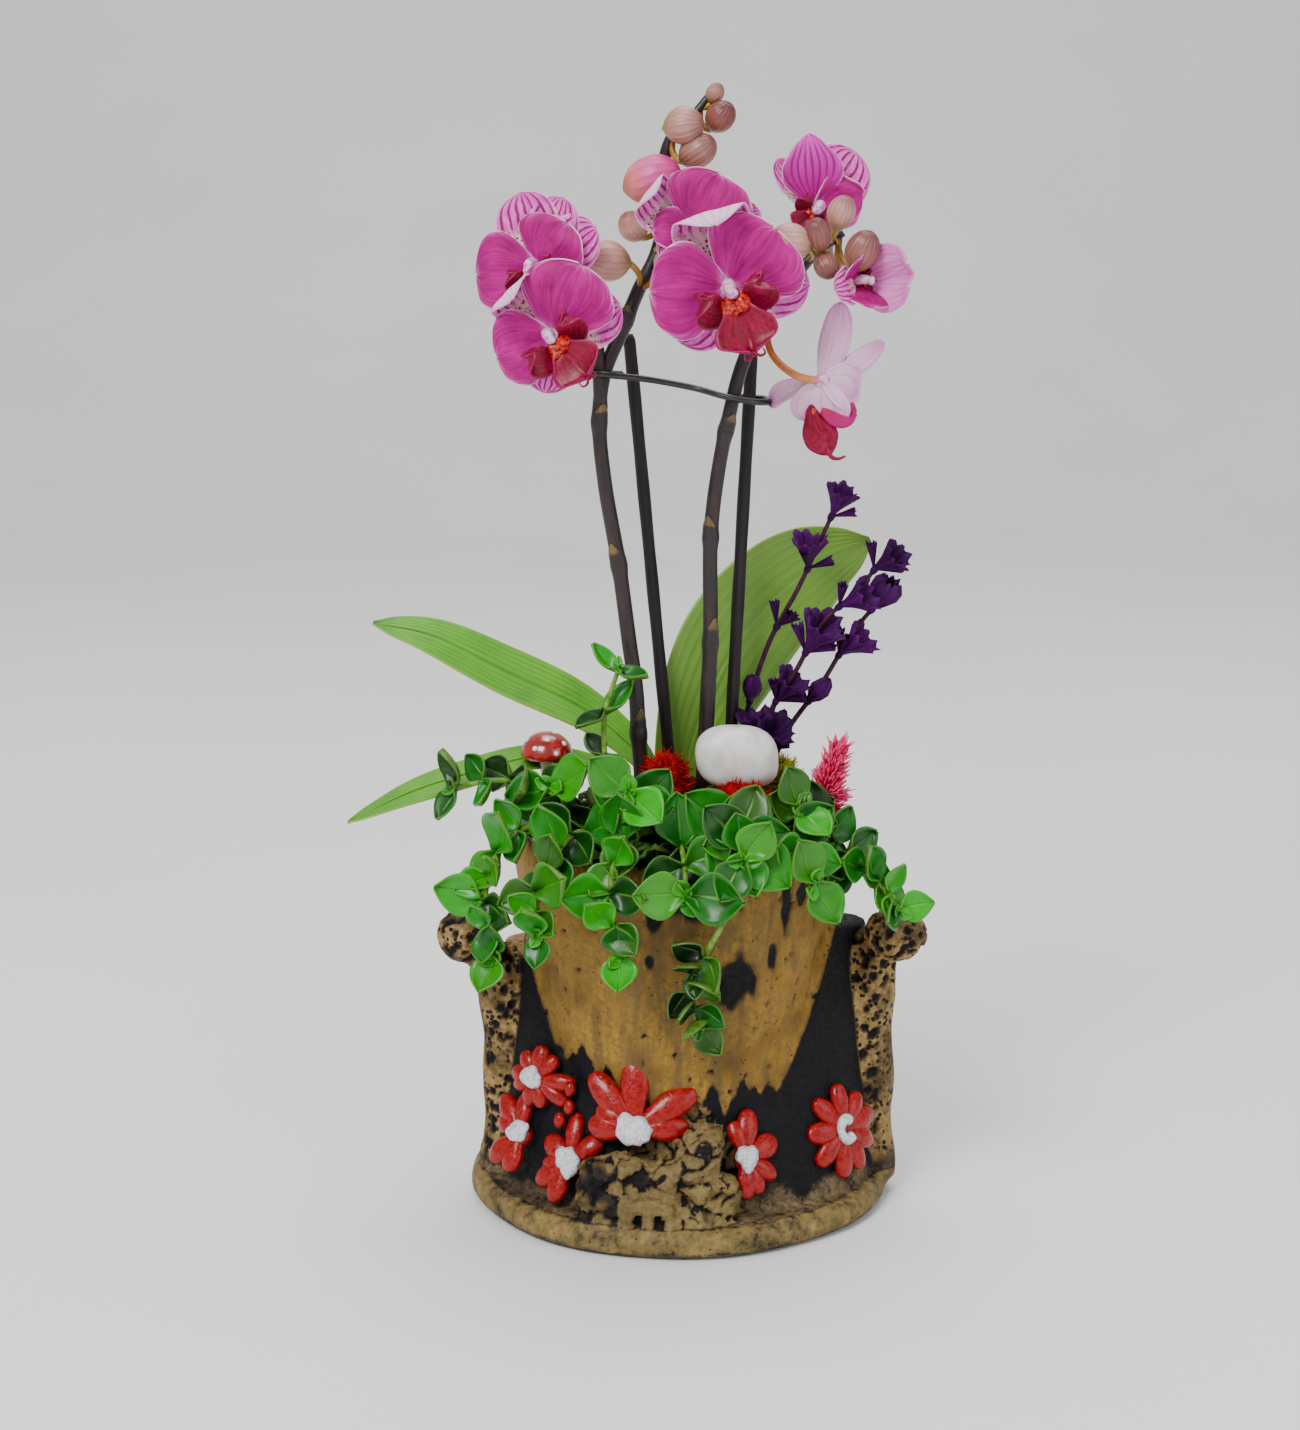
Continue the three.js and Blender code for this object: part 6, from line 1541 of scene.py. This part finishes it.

# first is where the leaves begin on the line; leaf is their length, open their lean from the stem in degrees,
# turn the first pair's turn in half circles; light pulls them to the front, slim is half width over length
# dark lowers the tone of every leaf on its stem, as painted shade
creeperSet = {
    "upright": dict(line=[(-21, -20, 112), (-22, -20, 138), (-22, -18, 152), (-18, -17, 165)], first=0.5,
                    pairs=3, leaf=13, open=70, turn=0.2, light=0.4, slim=0.27),
    "left_high": dict(line=[(-26, -12, 112), (-38, -18, 128), (-52, -22, 133), (-66, -22, 131)], first=0.3,
                      pairs=3, leaf=15.5, open=70, turn=0.6, dark=0.35),
    "left_low": dict(line=[(-28, -24, 112), (-44, -34, 122), (-54, -38, 112), (-56, -40, 96), (-53, -44, 86)],
                     first=0.26, pairs=4, leaf=16, open=66, turn=0.1),
    "left_front": dict(line=[(-18, -28, 112), (-30, -42, 122), (-40, -50, 108), (-40, -54, 95)], first=0.3,
                       pairs=4, leaf=16, open=68, turn=0.9),
    "left_cushion": dict(line=[(-22, -18, 112), (-31, -24, 124), (-37, -31, 133)], first=0.6, pairs=2, leaf=18,
                         open=76, turn=0.35),
    "middle_drop": dict(line=[(-9, -32, 112), (-17, -48, 121), (-20, -55, 106), (-17, -56.5, 90)], first=0.34,
                        pairs=3, leaf=16, open=62, turn=0.4),
    "middle_high": dict(line=[(-8, -22, 112), (-12, -34, 126), (-15, -44, 134)], first=0.6, pairs=2, leaf=17.5,
                        open=78, turn=0.75),
    "front_rosette": dict(line=[(7, -28, 112), (12, -40, 121), (17, -52, 122), (17, -58, 118)], first=0.55,
                          pairs=4, leaf=17.5, open=82, turn=0.15),
    "front_lower": dict(line=[(0, -30, 111), (0, -44, 119), (1, -54, 115), (1, -59, 108)], first=0.5, pairs=2,
                        leaf=18, open=76, turn=0.5),
    "right_front": dict(line=[(27.5, -28, 112), (31, -39, 120.5), (34, -48, 117), (37, -51, 110)], first=0.5,
                        pairs=2, leaf=17, open=76, turn=0.7),
    "right_drop": dict(line=[(28, -24, 112), (38, -33, 120), (50, -34, 111), (59, -33, 103), (63, -36, 97)],
                       first=0.32, pairs=4, leaf=15.5, open=72, turn=0.3),
    "right_high": dict(line=[(31, -21, 112), (33, -30, 122), (34, -38, 129)], first=0.6, pairs=2, leaf=14.5,
                       open=66, turn=0.85),
    "hanging": dict(line=[(13, -34, 112), (14, -48, 118), (14, -55.5, 106), (8, -54.5, 92), (3, -51.5, 82),
                          (5, -48.5, 66)], first=0.66, pairs=3, leaf=12.5, open=52, turn=0.2, light=0.5,
                    dark=0.3),
}
leafWidth = swell((0, 0.16), (0.1, 0.42), (0.32, 0.92), (0.5, 1), (0.72, 0.78), (0.9, 0.36), (1, 0.04))


def leafPair(plant, k, t, small, tone):
    # two leaves opposite each other, turned a quarter from the pair before and lifted towards the light
    p, ahead, behind = lineAt(plant["line"], [t, min(1, t + 0.02), max(0, t - 0.02)])
    light = np.array([p[0] * 0.012, -0.85, 0.4])
    way = unit(unit(ahead - behind) * 0.4 + light * plant.get("light", 1))
    side = unit(np.cross(way, (0.13, 0.31, 0.94)))
    nearTip = smooth(0.4, 1, k / plant["pairs"])
    a = plant["turn"] * np.pi + k * np.pi / 2 + 0.5 * (vary(k + plant["turn"] * 40) - 0.5)
    out = side * np.cos(a) + np.cross(side, way) * np.sin(a)
    made = []
    for sign in (-1, 1):
        seed = k * 2 + sign + plant["turn"] * 40
        lean = np.radians(plant["open"] + 18 * (vary(seed + 3) - 0.5) - 14 * nearTip)
        length = plant["leaf"] * (1 - 0.38 * nearTip) * (0.88 + 0.24 * vary(seed + 5)) * small
        droop = (vary(seed + 8) - 0.4) * 0.16 * length
        deep = (0.13 + 0.12 * vary(seed + 14)) * length
        reach = lambda share, lift=0.0: (p + out * sign * length * share * np.sin(lean)
                                         + way * (length * np.cos(lean) * share * share + lift))
        cup = lambda u, v: deep * v * v * (1 - 0.4 * u) - 0.35 * np.exp(-(v / 0.13) ** 2) * (1 - u)
        line = [reach(0.02), reach(0.3), reach(0.65, 0.2), reach(1.0, -droop)]
        made.append(blade(line, np.cross(way, out * sign), length * plant.get("slim", 0.43), leafWidth, 15, 11,
                          cup, 0.95, np.clip(tone + 0.7 * (vary(seed + 11) - 0.5), 0, 1)))
    return made


# leaves that fill in below a sprig: first and last direction round the soil, count and seed
fillSet = {"left_cushion": (-2.55, -1.85, 26, 1), "middle_high": (-2.0, -1.25, 26, 2),
           "right_front": (-1.2, -0.5, 22, 3), "left_high": (3.0, 3.6, 10, 4)}


def fillLeaves(first, last, count, seed):
    # shaded leaves low over the soil between two directions, each one out and up from its place
    rng = np.random.default_rng(seed + 70)
    ranges = ((first, last), (20, 41), (0.1, 1.1), (-0.9, 0.9), (9, 13.5))
    made = []
    for a, r, tilt, twist, long in zip(*[rng.uniform(*ends, count) for ends in ranges]):
        foot = np.array([r * np.cos(a), r * np.sin(a),
                         np.interp(r, [0, 15, 30, 41], [126, 124.2, 118, 111]) + 0.5])
        out = np.array([np.cos(a + twist) * np.cos(tilt), np.sin(a + twist) * np.cos(tilt), np.sin(tilt)])
        across = unit(np.cross(out, (0, 0, 1)))
        line = [foot, foot + out * long * 0.5 + np.cross(across, out) * 1.6, foot + out * long]
        made.append(blade(line, across, long * 0.4, leafWidth, 11, 9, lambda u, v: 0.16 * long * v * v, 0.9,
                          rng.uniform(0.05, 0.42)))
    return made


def creeperShapes(name, plant):
    # a stem with crossed pairs of leaves, smaller and painted lighter towards its tip, with painted shade low
    # down
    first, pairs, dark = plant["first"], plant["pairs"], plant.get("dark", 0.0)
    shapes = [tubeOf(plant["line"], lambda t: 1.1 - 0.4 * t, 10, 50, 0.5, 1)]
    count = pairs * 2 - 1
    # the pairs' tone rises towards the tip: painted shade deeper in the plant, painted light near the tip
    for i in range(0, count, 2 if "slim" in plant else 1):
        t = first + (0.985 - first) * (i / 2 / (pairs - 1))
        shapes += leafPair(plant, i / 2, t, 0.94 if i % 2 == 0 else 0.76, 0.42 + 0.42 * i / count - dark)
    for i in range(2):  # small new leaves at the growing tip
        shapes += leafPair(plant, pairs - 0.5 + i * 0.8, 0.998, 0.42 - 0.14 * i, 0.9 - dark)
    # leaves low on the stem get a dark tone, painted shade
    if name not in ("upright", "hanging"):
        for i, t in enumerate((0.16, 0.3)):
            if t < first - 0.04:
                shapes += leafPair(plant, i + 5.5, t, 0.8, 0.2)
    if name in fillSet:
        shapes += fillLeaves(*fillSet[name])
    return shapes


for name, plant in creeperSet.items():
    # stems with a dark value have all their leaves darkened as painted shade
    slot = "dark_creeper_leaf" if "dark" in plant else "creeper_leaf"
    put(pieceName("creeper", name), creeperShapes(name, plant), [creeperPaint, shootPaint], slot,
        [f"creeper_{name}"])
print("creeping plant made")


# potting mix: rough heap with bark chips

pottingSet = {
    "profile": [(0.01, 16.4), (33, 16.4), (34, 20), (37, 70), (40.4, 106), (40.2, 109.4), (30, 118),
                (15, 124.2), (0.01, 126)],
    "chips": 900, "chipSizes": (2.2, 6.5), "reach": 40,
}


def makeSoilPaint():  # brown by tone and noise
    paint = Paint("soilPaint", gloss=0.2)
    fine = paint.noise(1.1, 4)
    colour = paint.ramp(fine * 0.5 + paint.mark("tone") * 0.5,
                        (0.2, "140E0A"), (0.5, "33241A"), (0.8, "6A4E34"))
    paint.finish(colour, 0.9, fine, 0.5)
    return paint


soilPaint = makeSoilPaint()


def pottingShapes():
    # a turned heap made rough on top, and small lumps strewn evenly over it
    rng = np.random.default_rng(3)
    heap = turned(spaced(np.array(pottingSet["profile"], float), np.linspace(0, 1, 90)), 120, tone=0.3)
    top = heap.points[:, 2] > 107
    ground = heap.points[top]
    heap.points[top, 2] += 1.1 * noise3(ground, 3.0, 2) + 0.6 * noise3(ground, 1.3, 3) - 0.4
    chip = lumpOf((0, 0, 0), (0.5, 0.32, 0.2), sides=7, rows=5, rough=0.35, grain=0.4)
    n = pottingSet["chips"]
    r = pottingSet["reach"] * np.sqrt(rng.uniform(0, 0.98, n))
    a = rng.uniform(0, 2 * np.pi, n)
    height = np.interp(r, [0, 15, 30, 41], [126, 124.2, 118, 109.2]) + 0.2
    at = np.stack([r * np.cos(a), r * np.sin(a), height], 1)
    way = unit(rng.normal(size=(n, 3)) + [0, 0, 1.2])
    size = rng.uniform(*pottingSet["chipSizes"], n)[:, None] * [1, 1, 1]
    tone, turn = rng.uniform(0, 1, n), rng.uniform(0, 6.28, n)
    return [heap, copies(chip, at, way, size, tone, turn)]


put("pottingHeap", pottingShapes(), [soilPaint], "soil", ["potting_mix"])
print("potting mix made")


# floor, light and camera

stageSet = {
    "camera": (-8.8, -700, 283), "down": 10.9, "focal": 2376 / 1300, "sky": 0.52,
    "lamps": {"keyLight": ((-0.8, -1.3, 1.5), (0, 0, 0.16), 0.8, 38),
              "fillLight": ((1.3, -1.0, 0.9), (0, 0, 0.16), 1.2, 9),
              "topLight": ((0.1, 0.5, 1.9), (0, 0, 0.1), 1.2, 22)},
}
floorPaint = Paint("floorPaint", rough=0.7, gloss=0.2)
floorPaint.finish(floorPaint.ramp(floorPaint.noise(260, 2), (0.3, "FAF9F8"), (0.7, "FFFFFF")))


def sweepFloor(rows=60, cols=12):
    # a level floor that bends up behind in a quarter circle, carried sideways
    turn = np.linspace(0, np.pi / 2, 24)
    bend = np.stack([1600 + 800 * np.sin(turn), 800 - 800 * np.cos(turn)], 1)
    y, z = spaced(np.vstack([[-3000, 0], bend, [2400, 4200]]), np.linspace(0, 1, rows)).T
    x = np.linspace(-5000, 5000, cols)
    points = np.stack([np.tile(x, rows), np.repeat(y, cols), np.repeat(z, cols)], 1) * 0.001
    index = np.arange(rows * cols).reshape(rows, cols)
    faces = np.stack([index[:-1, :-1], index[:-1, 1:], index[1:, 1:], index[1:, :-1]], -1).reshape(-1, 4)
    sweep = bpy.data.meshes.new("floor")
    sweep.from_pydata(points.tolist(), [], faces.tolist())
    sweep.materials.append(floorPaint.material)
    sweep.shade_smooth()
    return bpy.data.objects.new("floor", sweep)


floor = sweepFloor()
bpy.context.scene.collection.objects.link(floor)

world = bpy.data.worlds.new("studio")
bpy.context.scene.world = world
world.use_nodes = True
world.node_tree.nodes["Background"].inputs["Color"].default_value = (1, 1, 1, 1)
world.node_tree.nodes["Background"].inputs["Strength"].default_value = stageSet["sky"]


def lamp(name, at, aim, size, power):  # square soft light that looks at its aim, in metres and watts
    data = bpy.data.lights.new(name, "AREA")
    data.shape, data.size, data.energy = "SQUARE", size, power
    made = bpy.data.objects.new(name, data)
    made.location = at
    made.rotation_euler = (Vector(aim) - Vector(at)).to_track_quat("-Z", "Y").to_euler()
    bpy.context.scene.collection.objects.link(made)


for name, values in stageSet["lamps"].items():
    lamp(name, *values)

camera = bpy.data.cameras.new("camera")
camera.sensor_fit, camera.sensor_width, camera.lens = "HORIZONTAL", 36, 36 * stageSet["focal"]
camera.clip_end = 50
viewer = bpy.data.objects.new("camera", camera)
viewer.location = Vector(stageSet["camera"]) * 0.001
viewer.rotation_euler = (np.radians(90 - stageSet["down"]), 0, 0)
bpy.context.scene.collection.objects.link(viewer)
bpy.context.scene.camera = viewer

print("scene ready")
